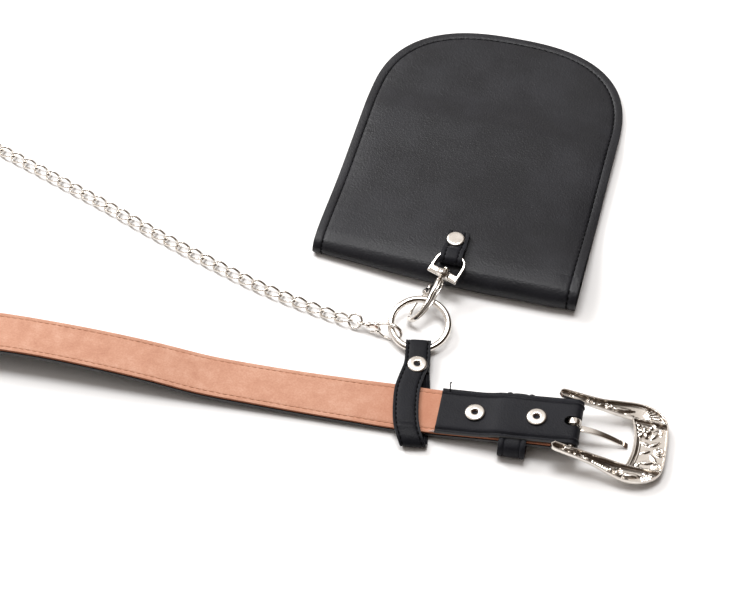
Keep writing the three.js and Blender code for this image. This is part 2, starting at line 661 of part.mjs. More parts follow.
function prong() {
  const r = BUCKLE.bar + GAP + PRONG.wall / 2;
  const curl = [15, 50, 90, 130, 170, 210, 240, 270].map((turn) =>
    vec(r * Math.cos(turn * DEG), 0, r * Math.sin(turn * DEG)));
  const arm = PRONG_ARM.map(([x, z]) => vec(x, 0, z));
  const rows = [...curl, ...arm];
  return sheet(rows.length - 1, 1, PRONG.wall, (u, w) => {
    const i = Math.round(u * (rows.length - 1));
    const narrow = i === rows.length - 1 ? 0.5 : 1;
    return rows[i].clone().add(vec(0, PRONG.side + (0.5 - w) * PRONG.width * narrow));
  });
}

// ---------------------------------------------------------------- chain
// Where the chain runs, from the middle of its first jump ring to past its far end.
const CHAIN_ROUTE = [
  [-34.55, -37.7], [-64.3, -32.2], [-86, -27.2], [-107.7, -20.5], [-129, -13.5], [-150.4, -5.8],
  [-171.7, 2.3], [-193.2, 10], [-215, 17.7], [-237.8, 25.5], [-270, 36.3],
];

class LinkCurve extends THREE.Curve {
  getPoint(t) {
    const turn = 2 * Math.PI * t;
    return vec(
      LINK.halfLength * Math.cos(turn), LINK.halfWidth * Math.sin(turn), LINK.twist * Math.sin(2 * turn),
    );
  }
}

function chain() {
  const route = new THREE.CatmullRomCurve3(CHAIN_ROUTE.map(([x, y]) => vec(x, y)), false, 'centripetal');
  const length = route.getLength();
  const link = new THREE.TubeGeometry(new LinkCurve(), 12, LINK.wire, 4, true);
  const place = (distance) => {
    const at = route.getPointAt(distance / length);
    const along = route.getTangentAt(distance / length);
    return { at, turn: Math.atan2(along.y, along.x) };
  };
  for (let i = 0; i < LINK.count; i++) {
    const { at, turn } = place(JUMP.reach + i * LINK.pitch);
    const mesh = piece(`chain_link_${String(i + 1).padStart(2, '0')}`, link, nickel);
    const end = i === 0 ? 1 : i === LINK.count - 1 ? -1 : 0;
    const rise = Math.abs(end) * LINK.halfLength * Math.sin(LINK.endPitch * DEG);
    mesh.position.set(at.x, at.y, LINK.height + rise);
    mesh.rotation.set(end * LINK.endRoll * DEG, end * LINK.endPitch * DEG, turn, 'ZYX');
  }
  return [place(0), place(2 * JUMP.reach + (LINK.count - 1) * LINK.pitch)];
}

function jumpRing(name, at, turn) {
  const mesh = piece(name, new THREE.TorusGeometry(JUMP.radius, JUMP.wire, 6, 18), nickel);
  mesh.position.set(at.x, at.y, JUMP.height);
  mesh.rotation.set(JUMP.lean * DEG, 0, turn, 'ZYX');
}

// A point on the chain's line, past the middle of a jump ring and at its height.
function jumpPoint({ at, turn }, distance) {
  return at.clone().addScaledVector(vec(Math.cos(turn), Math.sin(turn)), distance).setZ(JUMP.height);
}

function claspEye() {
  const eye = new THREE.TorusGeometry(CLASP_EYE.radius, CLASP_EYE.wire, 6, 14);
  const post = cylinder(CLASP_EYE.post, vec(CLASP_EYE.radius, 0), vec(4, 0), 10);
  return join(eye, post);
}

function claspBody() {
  const hole = cylinder(CLASP_EYE.bore, vec(0, 0), vec(4.3, 0), 12);
  return cut(snapBody(CLASP_SHAPE), hole);
}

// The far end's clasp is one plain piece: an eye and a flat closed hook.
function endClasp() {
  const outline = new THREE.Shape();
  outline.absarc(0, 0, 2.4, 0.25 * Math.PI, 1.75 * Math.PI);
  outline.bezierCurveTo(4, -2.2, 6, -4, 10, -3.9);
  outline.absarc(12, 0, 4, -0.6 * Math.PI, 0.6 * Math.PI);
  outline.bezierCurveTo(8, 3.6, 4, 2, 2.4 * Math.cos(0.25 * Math.PI), 2.4 * Math.sin(0.25 * Math.PI));
  const eye = new THREE.Path();
  eye.absarc(0, 0, 1.4, 0, 2 * Math.PI);
  const throat = new THREE.Path();
  throat.absellipse(11.2, 0, 3.2, 2.3, 0, 2 * Math.PI);
  outline.holes.push(eye, throat);
  return plate(outline, -0.8, 0.8, 5);
}

// ---------------------------------------------------------------- assembly
const up = vec(0, 0, 1);

const tabRivetAt = vec(...TAB.rivet, 2 * foldAt(TAB.x).radius - POUCH.wall);
const tabStack = POUCH.wall + 2 * (GAP + TAB.wall);
piece('pouch_back', bore(pouchBack(), tabRivetAt, up, [1, 8]), leather);
piece('pouch_front', pouchFront(), leather);
piece('pouch_tab', bore(tab(), tabRivetAt, up), leather);
placeRivet('pouch_rivet', rivet(tabStack, TAB.cap, 0), tabRivetAt, up);

const hookSide = leaning(heading(HOOK.heading - 90), -HOOK.lean);
const eyeFrame = frameAt(vec(...HOOK.at), axisOf(HOOK), heading(HOOK.heading - 90));
const hookFrame = frameAt(vec(...HOOK.at), axisOf(HOOK), hookSide);
piece('hook_eye', hookEye(), nickel, eyeFrame);
piece('hook_body', snapBody(HOOK_SHAPE), nickel, hookFrame);
piece('hook_gate', snapGate(HOOK_SHAPE), nickel, hookFrame);

const ring = piece('o_ring', new THREE.TorusGeometry(RING.radius, RING.wire, 8, 36), nickel);
ring.position.set(...RING.at);
ring.quaternion.setFromUnitVectors(up, ringAxis());
const hangerRivetAt = hangerPoint([HANGER.rivet, 0, HANGER.under - HANGER.wall / 2]);
const hangerStack = 3 * HANGER.wall + 2 * GAP;
piece('hanger_loop', bore(hanger(), hangerRivetAt, up), leather);
placeRivet('hanger_rivet', rivet(hangerStack, RIVET.cap, RIVET.hole), hangerRivetAt, up);

piece('belt_outer', beltOuter(), leather);
piece('belt_lining', beltLining(), lining);
RIVET_ROWS.forEach((row) => placeRivet(row.name, rivet(row.span, RIVET.cap, RIVET.hole), row.at, row.up));
piece('keeper_loop', keeper(), leather);

const buckleAxis = axisOf({ heading: BUCKLE.heading, pitch: -BUCKLE.pitch });
const buckle = frameAt(vec(...BUCKLE.at), buckleAxis, heading(BUCKLE.heading + 90));
piece('buckle_frame', buckleFrame(), nickel, buckle);
piece('buckle_prong', prong(), nickel, buckle);

const [chainStart, chainEnd] = chain();
jumpRing('chain_ring', chainStart.at, chainStart.turn + Math.PI);
jumpRing('chain_end_ring', chainEnd.at, chainEnd.turn);
const claspAt = jumpPoint(chainStart, -JUMP.radius);
const claspAxis = axisOf(CLASP);
const claspFrame = frameAt(claspAt, claspAxis, leaning(heading(CLASP.heading + 90), CLASP.lean));
piece('clasp_body', claspBody(), nickel, claspFrame);
piece('clasp_gate', snapGate(CLASP_SHAPE), nickel, claspFrame);
const claspEyeFrame = frameAt(claspAt, claspAxis, leaning(heading(CLASP.heading + 90), CLASP.eyeLean));
piece('clasp_eye', claspEye(), nickel, claspEyeFrame);
const endPiece = piece('chain_end_clasp', endClasp(), nickel);
endPiece.position.copy(jumpPoint(chainEnd, JUMP.radius));
endPiece.rotation.set(-JUMP.lean * DEG, 0, chainEnd.turn, 'ZYX');

// The origin is the middle of the footprint, on the ground.
const bounds = new THREE.Box3().setFromObject(layout, true);
const middle = bounds.getCenter(vec(0, 0));
const group = new THREE.Group();
layout.position.set(-middle.x, -middle.y, -bounds.min.z);
group.add(layout);
group.updateMatrixWorld(true);

export default group;
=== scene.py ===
# %% [markdown]
# # A waist bag, laid out on a table
#
# The object is a small black leather pouch, face down, held by a snap hook on a round ring. A short
# leather hanger carries the ring on a belt, whose tan side is up, and a curb chain is clipped to the
# same ring. Most of what shows is leather, thread and nickel, so the work below is about three things:
# thin sheets that bend round each other, rows of stitches, and polished metal that mirrors the room.

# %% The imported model
import bisect
import json
import math

import bmesh
import bpy
from mathutils import Matrix, Vector, noise

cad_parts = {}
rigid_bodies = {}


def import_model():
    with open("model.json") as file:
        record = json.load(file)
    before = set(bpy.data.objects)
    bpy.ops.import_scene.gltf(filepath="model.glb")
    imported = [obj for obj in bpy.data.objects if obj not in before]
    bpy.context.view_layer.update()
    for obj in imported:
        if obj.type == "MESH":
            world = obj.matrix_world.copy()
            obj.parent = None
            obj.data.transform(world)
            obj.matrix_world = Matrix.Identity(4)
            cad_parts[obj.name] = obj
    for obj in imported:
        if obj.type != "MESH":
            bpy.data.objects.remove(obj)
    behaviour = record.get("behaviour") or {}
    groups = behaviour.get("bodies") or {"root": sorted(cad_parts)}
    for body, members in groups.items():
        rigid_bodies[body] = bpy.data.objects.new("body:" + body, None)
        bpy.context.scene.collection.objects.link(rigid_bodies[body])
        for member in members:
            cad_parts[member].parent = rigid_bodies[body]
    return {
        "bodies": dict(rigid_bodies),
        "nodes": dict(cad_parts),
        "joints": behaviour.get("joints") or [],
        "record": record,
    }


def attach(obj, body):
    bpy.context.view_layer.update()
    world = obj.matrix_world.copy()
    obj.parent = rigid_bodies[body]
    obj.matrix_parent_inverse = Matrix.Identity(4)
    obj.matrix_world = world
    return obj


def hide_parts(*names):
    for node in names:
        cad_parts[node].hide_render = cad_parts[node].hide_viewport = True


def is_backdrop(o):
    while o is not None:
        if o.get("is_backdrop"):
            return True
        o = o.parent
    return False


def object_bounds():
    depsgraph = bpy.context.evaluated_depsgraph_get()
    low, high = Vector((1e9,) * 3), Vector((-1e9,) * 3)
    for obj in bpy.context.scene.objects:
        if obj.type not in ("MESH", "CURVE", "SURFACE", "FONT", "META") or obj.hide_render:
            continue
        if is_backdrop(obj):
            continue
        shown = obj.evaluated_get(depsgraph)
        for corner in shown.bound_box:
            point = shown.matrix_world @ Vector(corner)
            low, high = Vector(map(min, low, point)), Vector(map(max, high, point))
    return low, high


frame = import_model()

CAD_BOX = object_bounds()
MM = 0.001
print("the model is", [round(side / MM, 1) for side in CAD_BOX[1] - CAD_BOX[0]], "mm")

# %% [markdown]
# Everything was laid out from one zero: the middle of the pouch's fold, on the table. The face that the
# pouch rests on is known in the record, and it lies 50 mm further up the pouch, so it gives that zero.
# All the shapes are worked out in millimetres from there, and one matrix takes them to metres.

# %% The zero of the layout
REST_FACE = next(m for m in frame["record"]["mounts"] if m["name"] == "pouch_underside")
REST_FACE_FROM_FOLD = 50
ZERO = Vector(REST_FACE["pos_m"]) - Vector((0, REST_FACE_FROM_FOLD * MM, 0))
TO_METRES = Matrix.Translation(ZERO) @ Matrix.Scale(MM, 4)
print("the fold's middle is at", [round(x, 4) for x in ZERO])


# %% Directions and new objects
def circle(degrees):
    """Cosine and sine."""
    return math.cos(math.radians(degrees)), math.sin(math.radians(degrees))


def heading(degrees):
    """A level direction, turned from +X."""
    return Vector((*circle(degrees), 0))


def leaning(direction, degrees):
    """The same direction, raised by an angle."""
    level, rise = circle(degrees)
    return direction * level + Vector((0, 0, rise))


def new_object(name, data):
    made = bpy.data.objects.new(name, data)
    bpy.context.scene.collection.objects.link(made)
    return made


def mesh_of(bm, name):
    """Puts a bmesh into a new mesh and frees it."""
    mesh = bpy.data.meshes.new(name)
    bm.to_mesh(mesh)
    bm.free()
    return mesh


# %% [markdown]
# ## Camera
#
# A long lens from about a metre away keeps the chain and the buckle at the same scale, as on a product
# table. The camera stands in front and a little to the right, so the pouch's fold slants across the view.

# %% Camera
AIM = Vector((0.0462, -0.0514, 0))
CAMERA_TURN, CAMERA_RISE, CAMERA_DISTANCE = 14.57, 51.19, 1.0732
LENS, SENSOR_WIDTH = 105.6, 36
TO_CAMERA = leaning(heading(CAMERA_TURN - 90), CAMERA_RISE)

camera_data = bpy.data.cameras.new("camera")
camera_data.lens = LENS
camera_data.sensor_width = SENSOR_WIDTH
camera = new_object("camera", camera_data)
camera.location = AIM + CAMERA_DISTANCE * TO_CAMERA
camera.rotation_euler = TO_CAMERA.to_track_quat("Z", "Y").to_euler()
bpy.context.scene.camera = camera
print("the camera is at", [round(x, 3) for x in camera.location])

# %% [markdown]
# ## Shader sums
#
# A finish is a tree of nodes, but its maths reads better as a formula. The class below holds one socket,
# and each operator adds the Math node that does it. A second class holds a whole tree and has one method
# for every other kind of node. A finish is such a tree on the Principled shader, and the room is another.


# %% A socket that can be used in sums
class Value:
    """One socket of a node tree. Sums of values add Math nodes."""

    def __init__(self, nodes, socket):
        self.nodes = nodes
        self.socket = socket

    def sum(self, operation, first, second):
        return self.nodes.node("ShaderNodeMath", {"operation": operation}, {0: first, 1: second})

    def __add__(self, other):
        return self.sum("ADD", self, other)

    def __sub__(self, other):
        return self.sum("SUBTRACT", self, other)

    def __rsub__(self, other):
        return self.sum("SUBTRACT", other, self)

    def __mul__(self, other):
        return self.sum("MULTIPLY", self, other)

    __radd__ = __add__
    __rmul__ = __mul__


# %% A tree of nodes, and a material in the making
class Nodes:
    """A node tree with one way to add any node."""

    def __init__(self, tree):
        self.tree = tree

    def feed(self, socket, value):
        if isinstance(value, Value):
            self.tree.links.new(value.socket, socket)
        else:
            socket.default_value = value

    def node(self, kind, settings=None, inputs=None, output=0):
        made = self.tree.nodes.new(kind)
        for name, value in (settings or {}).items():
            if name == "stops":
                self.set_stops(made.color_ramp, value)
            else:
                setattr(made, name, value)
        for name, value in (inputs or {}).items():
            self.feed(made.inputs[name], value)
        return Value(self, made.outputs[output])

    def set_stops(self, ramp, stops):
        while len(ramp.elements) < len(stops):
            ramp.elements.new(0.5)
        for element, (position, colour) in zip(ramp.elements, stops):
            element.position = position
            element.color = (*colour, 1)

    def ramp(self, value, *stops):
        return self.node("ShaderNodeValToRGB", {"stops": stops}, {"Fac": value})


class Finish(Nodes):
    """A material on the Principled shader. Constants go straight on the shader's own sockets."""

    def __init__(self, name, **constants):
        self.material = bpy.data.materials.new(name)
        self.material.use_nodes = True
        super().__init__(self.material.node_tree)
        self.shader = self.tree.nodes["Principled BSDF"]
        self.surface(**constants)
        self.place = self.node("ShaderNodeTexCoord", output="Object")

    def stretched(self, x, y, z):
        """The place on the object, drawn out along its axes."""
        return self.node("ShaderNodeMapping", {}, {"Vector": self.place, "Scale": (x, y, z)})

    def clouds(self, size, detail=2, place=None):
        """Soft noise from 0 to 1, with spots about size millimetres across."""
        inputs = {"Vector": place or self.place, "Scale": 1 / (size * MM), "Detail": detail}
        return self.node("ShaderNodeTexNoise", {}, inputs, "Fac")

    def cells(self, size):
        """Smoothed distance to the nearest of many seeds, about size millimetres apart."""
        inputs = {"Vector": self.place, "Scale": 1 / (size * MM)}
        return self.node("ShaderNodeTexVoronoi", {"feature": "SMOOTH_F1"}, inputs, "Distance")

    def between(self, value, low, high):
        """0 under low, 1 over high, and smooth between."""
        inputs = {"Value": value, "From Min": low, "From Max": high}
        return self.node("ShaderNodeMapRange", {"interpolation_type": "SMOOTHSTEP"}, inputs)

    def mix(self, share, first, second):
        """A colour between two."""
        colours = {0: share, 6: first, 7: second}
        return self.node("ShaderNodeMix", {"data_type": "RGBA"}, colours, 2)

    def bump(self, height, depth):
        """Height from 0 to 1 as a relief that is depth millimetres deep."""
        inputs = {"Height": height, "Distance": depth * MM, "Strength": 1}
        self.feed(self.shader.inputs["Normal"], self.node("ShaderNodeBump", {}, inputs))

    def surface(self, **sockets):
        for socket, value in sockets.items():
            self.feed(self.shader.inputs[socket.replace("_", " ")], value)


# %% [markdown]
# ## Black leather
#
# The pouch and the straps are coated leather: a fine pebble that is pressed into the coat, hardly deeper
# than a hair, over soft unevenness of the hide. The pebble is what breaks a highlight into grains, so it
# is a bump. The colour is nearly even; only the roughness drifts, as the coat is more rubbed in places.


# %% Black leather
def black_leather(name, rough, pebble, depth, shine):
    leather = Finish(name, Specular_IOR_Level=shine)
    warp = leather.clouds(1.6)
    grain = leather.cells(pebble)
    fine = leather.clouds(0.22, 3)
    hide = leather.clouds(19, 3)
    leather.bump(grain * 0.75 + fine * 0.3 + warp * 0.5, depth)
    rubbed = leather.between(hide, 0.35, 0.7)
    leather.surface(
        Base_Color=leather.mix(rubbed, (0.0080, 0.0083, 0.0108, 1), (0.0116, 0.0120, 0.0154, 1)),
        Roughness=rubbed * 0.07 + fine * 0.10 + (rough - 0.08),
    )
    return leather.material


POUCH_LEATHER = black_leather("pouch_leather", rough=0.42, pebble=0.8, depth=0.17, shine=0.25)
STRAP_LEATHER = black_leather("strap_leather", rough=0.47, pebble=0.65, depth=0.15, shine=0.1)
print("two black leathers")

# %% [markdown]
# The cut edges of the straps are sealed with black paint. It is smoother than the grain, and it shows
# as a thin brighter line along each edge.

# %% Edge paint
edge_paint = Finish("edge_paint", Base_Color=(0.012, 0.0115, 0.0125, 1), Specular_IOR_Level=0.5)
edge_paint.bump(edge_paint.clouds(0.5), 0.05)
edge_paint.surface(Roughness=edge_paint.clouds(2.5) * 0.25 + 0.3)
EDGE_PAINT = edge_paint.material

# %% [markdown]
# ## Tan lining
#
# The belt's inner side is a thin tan split with no coat: pale peach where it is dry and rubbed, darker
# where the fibres are pressed flat. Two sizes of clouds give the mottling and a third gives the nap.

# %% Tan lining
lining = Finish("tan_lining", Specular_IOR_Level=0.3)
blotch = lining.clouds(7, 4)
speckle = lining.clouds(0.9, 3)
nap = lining.clouds(0.28, 2, lining.stretched(0.6, 1, 1))
tan = lining.ramp(
    blotch * 0.55 + speckle * 0.45,
    (0.3, (0.40, 0.187, 0.119)), (0.5, (0.478, 0.244, 0.161)), (0.7, (0.557, 0.318, 0.228)),
)
along_belt = lining.node("ShaderNodeSeparateXYZ", {}, {"Vector": lining.place}, "X")
# Towards the hanger and the flap the tan turns darker: partly the lining pressed and handled there, partly
# painted shade of the hanger and the flap.
pressed_and_painted_shade = lining.between(along_belt, ZERO.x - 30 * MM, ZERO.x + 12 * MM)
lining.bump(nap * 0.6 + speckle * 0.6, 0.07)
lining.surface(
    Base_Color=lining.mix(pressed_and_painted_shade * 0.55, tan, (0.40, 0.150, 0.080, 1)),
    Roughness=nap * 0.2 + 0.62,
)
TAN_LINING = lining.material

raw_edge = Finish("raw_edge", Specular_IOR_Level=0.3, Roughness=0.8)
raw_edge.surface(
    Base_Color=raw_edge.mix(raw_edge.clouds(0.5), (0.20, 0.06, 0.028, 1), (0.36, 0.13, 0.065, 1)),
)
RAW_EDGE = raw_edge.material
print("the lining and its raw edge")

# %% [markdown]
# ## Nickel
#
# Polished nickel is a little warmer than chrome. It takes nearly all its looks from the room, so the base
# colour stays plain, with faint smears in the roughness. The cast buckle has the same plating over a
# surface that was never polished inside, so its floor is rougher and slightly uneven. Its floor and the
# hollows round the ornament turn brown with tarnish, and its walls get the same brown as painted shade.


# %% Nickel
PLATED_LOW, PLATED_HIGH = (0.70, 0.655, 0.605, 1), (0.80, 0.765, 0.72, 1)


def nickel(name, rough, casting, tarnish=None):
    """Plating. The attribute named by the last argument is 1 where the metal is brown: tarnish on floors
    and in hollows, painted shade on walls.
    """
    metal = Finish(name, Metallic=1)
    smear = metal.clouds(3.5, 3)
    plated = metal.mix(smear, PLATED_LOW, PLATED_HIGH)
    roughness = smear * 0.10 + (rough - 0.05)
    if tarnish:
        share = metal.node("ShaderNodeAttribute", {"attribute_name": tarnish}, {}, "Fac")
        # The brown stands for tarnish in the hollows and for painted shade on the walls.
        brown_tarnish_and_shade = metal.mix(metal.clouds(0.9), (0.20, 0.150, 0.110, 1), (0.44, 0.355, 0.285, 1))
        plated = metal.mix(share, plated, brown_tarnish_and_shade)
        roughness = roughness + share * 0.16
    metal.bump(metal.clouds(casting * 8, 3), casting * 0.06)
    metal.surface(Base_Color=plated, Roughness=roughness)
    return metal.material


POLISHED = nickel("polished_nickel", rough=0.12, casting=0.25)
CAST = nickel("cast_nickel", rough=0.17, casting=0.45)
HOLLOW = nickel("hollow_nickel", rough=0.19, casting=0.45, tarnish="tarnish")
STAMPED = nickel("stamped_nickel", rough=0.24, casting=0.3)

# Painted shade: a dark brown metal for the inside of the rivets' open tubes and for the prong's tip under
# the end plate.
painted_shade_metal = Finish("painted_shade_metal", Roughness=0.45, Metallic=0.6)
painted_shade_metal.surface(
    Base_Color=painted_shade_metal.mix(painted_shade_metal.clouds(0.8), (0.05, 0.03, 0.022, 1), (0.16, 0.09, 0.06, 1)),
)
PAINTED_SHADE_METAL = painted_shade_metal.material
print("four nickels and the dark inside of a tube")

# %% [markdown]
# ## Thread
#
# Bonded thread is a dull twist. A slanted wave along the stitch would be finer than a hair here, so small
# clouds in colour and relief are enough.


# %% Thread
def thread(name, dark, light, shine=0.3):
    yarn = Finish(name, Roughness=0.7, Specular_IOR_Level=shine)
    twist = yarn.clouds(0.25)
    yarn.bump(twist, 0.08)
    yarn.surface(Base_Color=yarn.mix(twist, (*dark, 1), (*light, 1)))
    return yarn.material


BLACK_THREAD = thread("black_thread", (0.0012, 0.0012, 0.0012), (0.003, 0.003, 0.003), shine=0.05)
TAN_THREAD = thread("tan_thread", (0.33, 0.145, 0.08), (0.50, 0.25, 0.15))
WHITE_LINT = thread("white_lint", (0.35, 0.34, 0.33), (0.6, 0.6, 0.6))
print("three threads")

# %% [markdown]
# ## Smooth lines
#
# Straps, hooks and rods all follow a line through a few points. A centripetal Catmull-Rom curve passes
# through each point without loops or overshoot, which matters where a strap turns back on itself. The
# route is sampled finely once, and then walked by its length.


# %% A line through a few points
def between_points(a, b, c, d, t):
    """The centripetal curve from b to c, whose neighbours are a and d."""
    before, here, after = (max((q - p).length ** 0.5, 1e-3) for p, q in ((a, b), (b, c), (c, d)))
    start = ((b - a) / before - (c - a) / (before + here) + (c - b) / here) * here
    end = ((c - b) / here - (d - b) / (here + after) + (d - c) / after) * here
    return (
        b * (2 * t**3 - 3 * t**2 + 1)
        + start * (t**3 - 2 * t**2 + t)
        + c * (3 * t**2 - 2 * t**3)
        + end * (t**3 - t**2)
    )


def through(points, steps=16):
    """Vectors of any size on the smooth curve through these, steps to each stretch."""
    points = [Vector(p) for p in points]
    padded = [points[0] * 2 - points[1], *points, points[-1] * 2 - points[-2]]
    line = [
        between_points(*padded[i : i + 4], step / steps)
        for i in range(len(points) - 1)
        for step in range(steps)
    ]
    return [*line, points[-1]]


# %% A line walked by its length
class Route:
    """A fine line of points, walked by distance in millimetres."""

    def __init__(self, line):
        self.line = [Vector(p) for p in line]
        self.marks = [0]
        for a, b in zip(self.line, self.line[1:]):
            self.marks.append(self.marks[-1] + (b - a).length)
        self.length = self.marks[-1]

    def at(self, distance):
        distance = min(max(distance, 0), self.length)
        i = min(max(bisect.bisect_right(self.marks, distance), 1), len(self.marks) - 1)
        share = (distance - self.marks[i - 1]) / max(self.marks[i] - self.marks[i - 1], 1e-9)
        return self.line[i - 1].lerp(self.line[i], share)

    def along(self, distance, reach=0.4):
        return (self.at(distance + reach) - self.at(distance - reach)).normalized()


def smooth(low, high, value):
    share = min(max((value - low) / (high - low), 0), 1)
    return share * share * (3 - 2 * share)


def bell(distance, width):
    """1 at no distance, fading to nothing within about two widths."""
    return math.exp(-((distance / width) ** 2))


# %% [markdown]
# ## From bmesh to a finished piece
#
# A sheet starts as a flat grid whose corners are moved to where the leather lies. Its thickness comes
# from a Solidify modifier, which gives the rim its own finish, and a small bevel softens the rim. Every
# piece also rides on its body, and most stand for a plain solid.


# %% Grids and pieces
def grid(rows, columns, place):
    """A bmesh sheet of rows by columns faces, with each corner at place(row, column)."""
    bm = bmesh.new()
    bmesh.ops.create_grid(bm, x_segments=rows, y_segments=columns, size=0.5)
    for corner in bm.verts:
        row, column = round((corner.co.x + 0.5) * rows), round((corner.co.y + 0.5) * columns)
        corner.co = place(row, column)
    return bm


def add(bm, other):
    """Moves everything of another bmesh into the first."""
    carrier = mesh_of(other, "carrier")
    bm.from_mesh(carrier)
    bpy.data.meshes.remove(carrier)
    return bm


def soften(made, edge, segments=2):
    """A bevel on all edges that are sharper than 50 degrees."""
    bevel = made.modifiers.new("edge", "BEVEL")
    bevel.width = edge * MM
    bevel.segments = segments
    bevel.limit_method = "ANGLE"
    bevel.angle_limit = math.radians(50)


def piece(name, bm, finishes, body="bag", nodes=(), wall=0, edge=0.0, frame_at=None):
    """A smooth shaded object from a bmesh in millimetres, riding on a body."""
    bmesh.ops.transform(bm, matrix=TO_METRES @ (frame_at or Matrix()), verts=bm.verts)
    mesh = mesh_of(bm, name)
    mesh.shade_smooth()
    for finish in finishes:
        mesh.materials.append(finish)
    made = new_object(name, mesh)
    if wall:
        solid = made.modifiers.new("wall", "SOLIDIFY")
        solid.thickness = wall * MM
        solid.offset = 0
        solid.material_offset_rim = len(finishes) - 1
    if edge:
        soften(made, edge, 3)
    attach(made, body)
    if nodes:
        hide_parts(*nodes)
    return made


def closed(bm):
    """Merges what meets and turns every face outwards."""
    bmesh.ops.remove_doubles(bm, verts=bm.verts, dist=1e-3)
    bmesh.ops.recalc_face_normals(bm, faces=bm.faces)
    return bm


def nickel_piece(name, bm, frame_at, body="bag"):
    """A polished piece that stands for the solid of the same name."""
    piece(name, bm, [POLISHED], body=body, nodes=[name], frame_at=frame_at)


def leather_piece(name, bm, wall, edge=0.0, stands_for=None, finish=STRAP_LEATHER):
    """A sheet of black leather with painted edges."""
    finishes, nodes = [finish, EDGE_PAINT], [stands_for or name]
    return piece(name, bm, finishes, nodes=nodes, wall=wall, edge=edge)


def thread_piece(name, bm):
    piece(name, bm, [BLACK_THREAD])


def ring_corner(column, sides, squareness=2):
    """Cosine and sine of one corner of a round section, drawn out towards a box."""
    turn = 2 * math.pi * (column % sides) / sides
    return (math.copysign(abs(v) ** (2 / squareness), v) for v in (math.cos(turn), math.sin(turn)))


def block(middle, size, edge, segments):
    """A box with rounded edges."""
    bm = bmesh.new()
    bmesh.ops.create_cube(bm, size=1, matrix=Matrix.Translation(middle) @ Matrix.Diagonal((*size, 1)))
    bmesh.ops.bevel(
        bm, geom=bm.edges[:], offset=edge, segments=segments, affect="EDGES", profile=0.5, material=-1
    )
    return bm


# %% [markdown]
# ## Stitches
#
# A row of lock stitches is a string of short dashes that dip into the leather at both ends. Each stitch
# is a long thin ellipsoid, a sphere of a few dozen faces stretched along the row, and a whole row is one
# mesh. The places come from a function of the distance along the row.


# %% Rows of stitches
def sew(bm, place, start, end, pitch=3.0, share=0.72, gauge=0.34):
    """Stitches from start to end, where place(distance) is a point on the leather."""
    count = max(round((end - start) / pitch), 1)
    step = (end - start) / count
    for i in range(count):
        here = start + (i + 0.5) * step
        a, b = place(here - share * step / 2), place(here + share * step / 2)
        turn = (b - a).to_track_quat("Z", "Y").to_matrix().to_4x4()
        size = Matrix.Diagonal((gauge, gauge, (b - a).length / 2, 1))
        bmesh.ops.create_uvsphere(
            bm, u_segments=8, v_segments=6, radius=1, matrix=Matrix.Translation((a + b) / 2) @ turn @ size
        )
    return bm


# %% [markdown]
# ## Pouch
#
# The back panel is one sheet of leather: it comes down over the arch and the sides, turns round the fold
# and goes on under the pocket as the flap. A plain grid would cross the arch at odd angles, and the
# stitched line has to follow the outline there. So the panel is a fan of rings: each ring is the outline
# drawn inwards a little more, and the last ring is a spine down the middle. The fold and the flap go on
# from it with the same columns.

# %% The pouch's sizes
HALF_WIDTH, STRAIGHT, ARCH, SQUARENESS, POUCH_WALL, GAP = 66.5, 110, 61.2, 2.55, 1.5, 0.3
FLAP, FLAP_CORNER, MOUTH, TOP_START = 100, 34, 14, 9
FOLD_RADIUS, FOLD_SWELL, FOLD_FORWARD = 4.6, 1.5, 5
SHOULDER_DROP, SHOULDER_LENGTH = 1.5, 9
SEAM = 4.3
SEAM_WIDTH, SEAM_PITCH = 0.62, 3.4
RING_INSETS = [
    0, 0.5, 1.2, 2.1, 3.0, 3.6, 3.95, 4.3, 4.65, 5.0, 5.7, 6.8, 8.5, 11, 14, 18, 23, 29, 36, 44, 52,
    59.5, 66.5,
]


def fold_at(x):
    """The fold is fatter from the middle on, and stands further out there."""
    share = smooth(-HALF_WIDTH, 0, x)
    radius = FOLD_RADIUS + FOLD_SWELL * share
    return radius, radius - FOLD_FORWARD * share


def front_base(y):
    """Underside of the pocket panel: on the flap, then down to the table past the flap's end."""
    return (POUCH_WALL + GAP) * (1 - smooth(FLAP + 1, FLAP + 20, y))


def pocket_height(x, y):
    """The space inside the pocket: full at the mouth, level in the middle, pinched at the rim."""
    side = abs(x) / HALF_WIDTH
    mouth = 2 * fold_at(x)[0] - 3 * POUCH_WALL - 2 * GAP
    length = 0.55 * (1 - smooth(4, 80, y)) + 0.45 * (1 - smooth(50, 175, y))
    return mouth * length * (1 - smooth(10, 60, y) * side**3)


# %% The outline and its rings
def arched_outline(start, step):
    """From the fold's left end over the arch to its right end, about a step apart."""
    rise = [start + (STRAIGHT - start) * i / 40 for i in range(40)]
    left = [Vector((-HALF_WIDTH, y, 0)) for y in rise]
    arch = []
    for i in range(161):
        turn = math.pi * (1 - i / 160)
        across, up = math.cos(turn), math.sin(turn)
        x = math.copysign(HALF_WIDTH * abs(across) ** (2 / SQUARENESS), across)
        arch.append(Vector((x, STRAIGHT + ARCH * up ** (2 / SQUARENESS), 0)))
    right = [Vector((HALF_WIDTH, y, 0)) for y in reversed(rise)]
    route = Route([*left, *arch, *right])
    count = 2 * round(route.length / step / 2)
    return route, [route.length * i / count for i in range(count + 1)]


def ring_point(route, distance, inset):
    """A point of one ring: square to the outline near it, then towards the spine."""
    edge = route.at(distance)
    along = route.along(distance)
    inward = Vector((along.y, -along.x, 0))
    spine = Vector((0, edge.y if edge.y < STRAIGHT else STRAIGHT + (edge.y - STRAIGHT) * 0.12, 0))
    near = edge + inward * inset
    far = edge.lerp(spine, inset / HALF_WIDTH)
    return near.lerp(far, smooth(4, 22, inset))


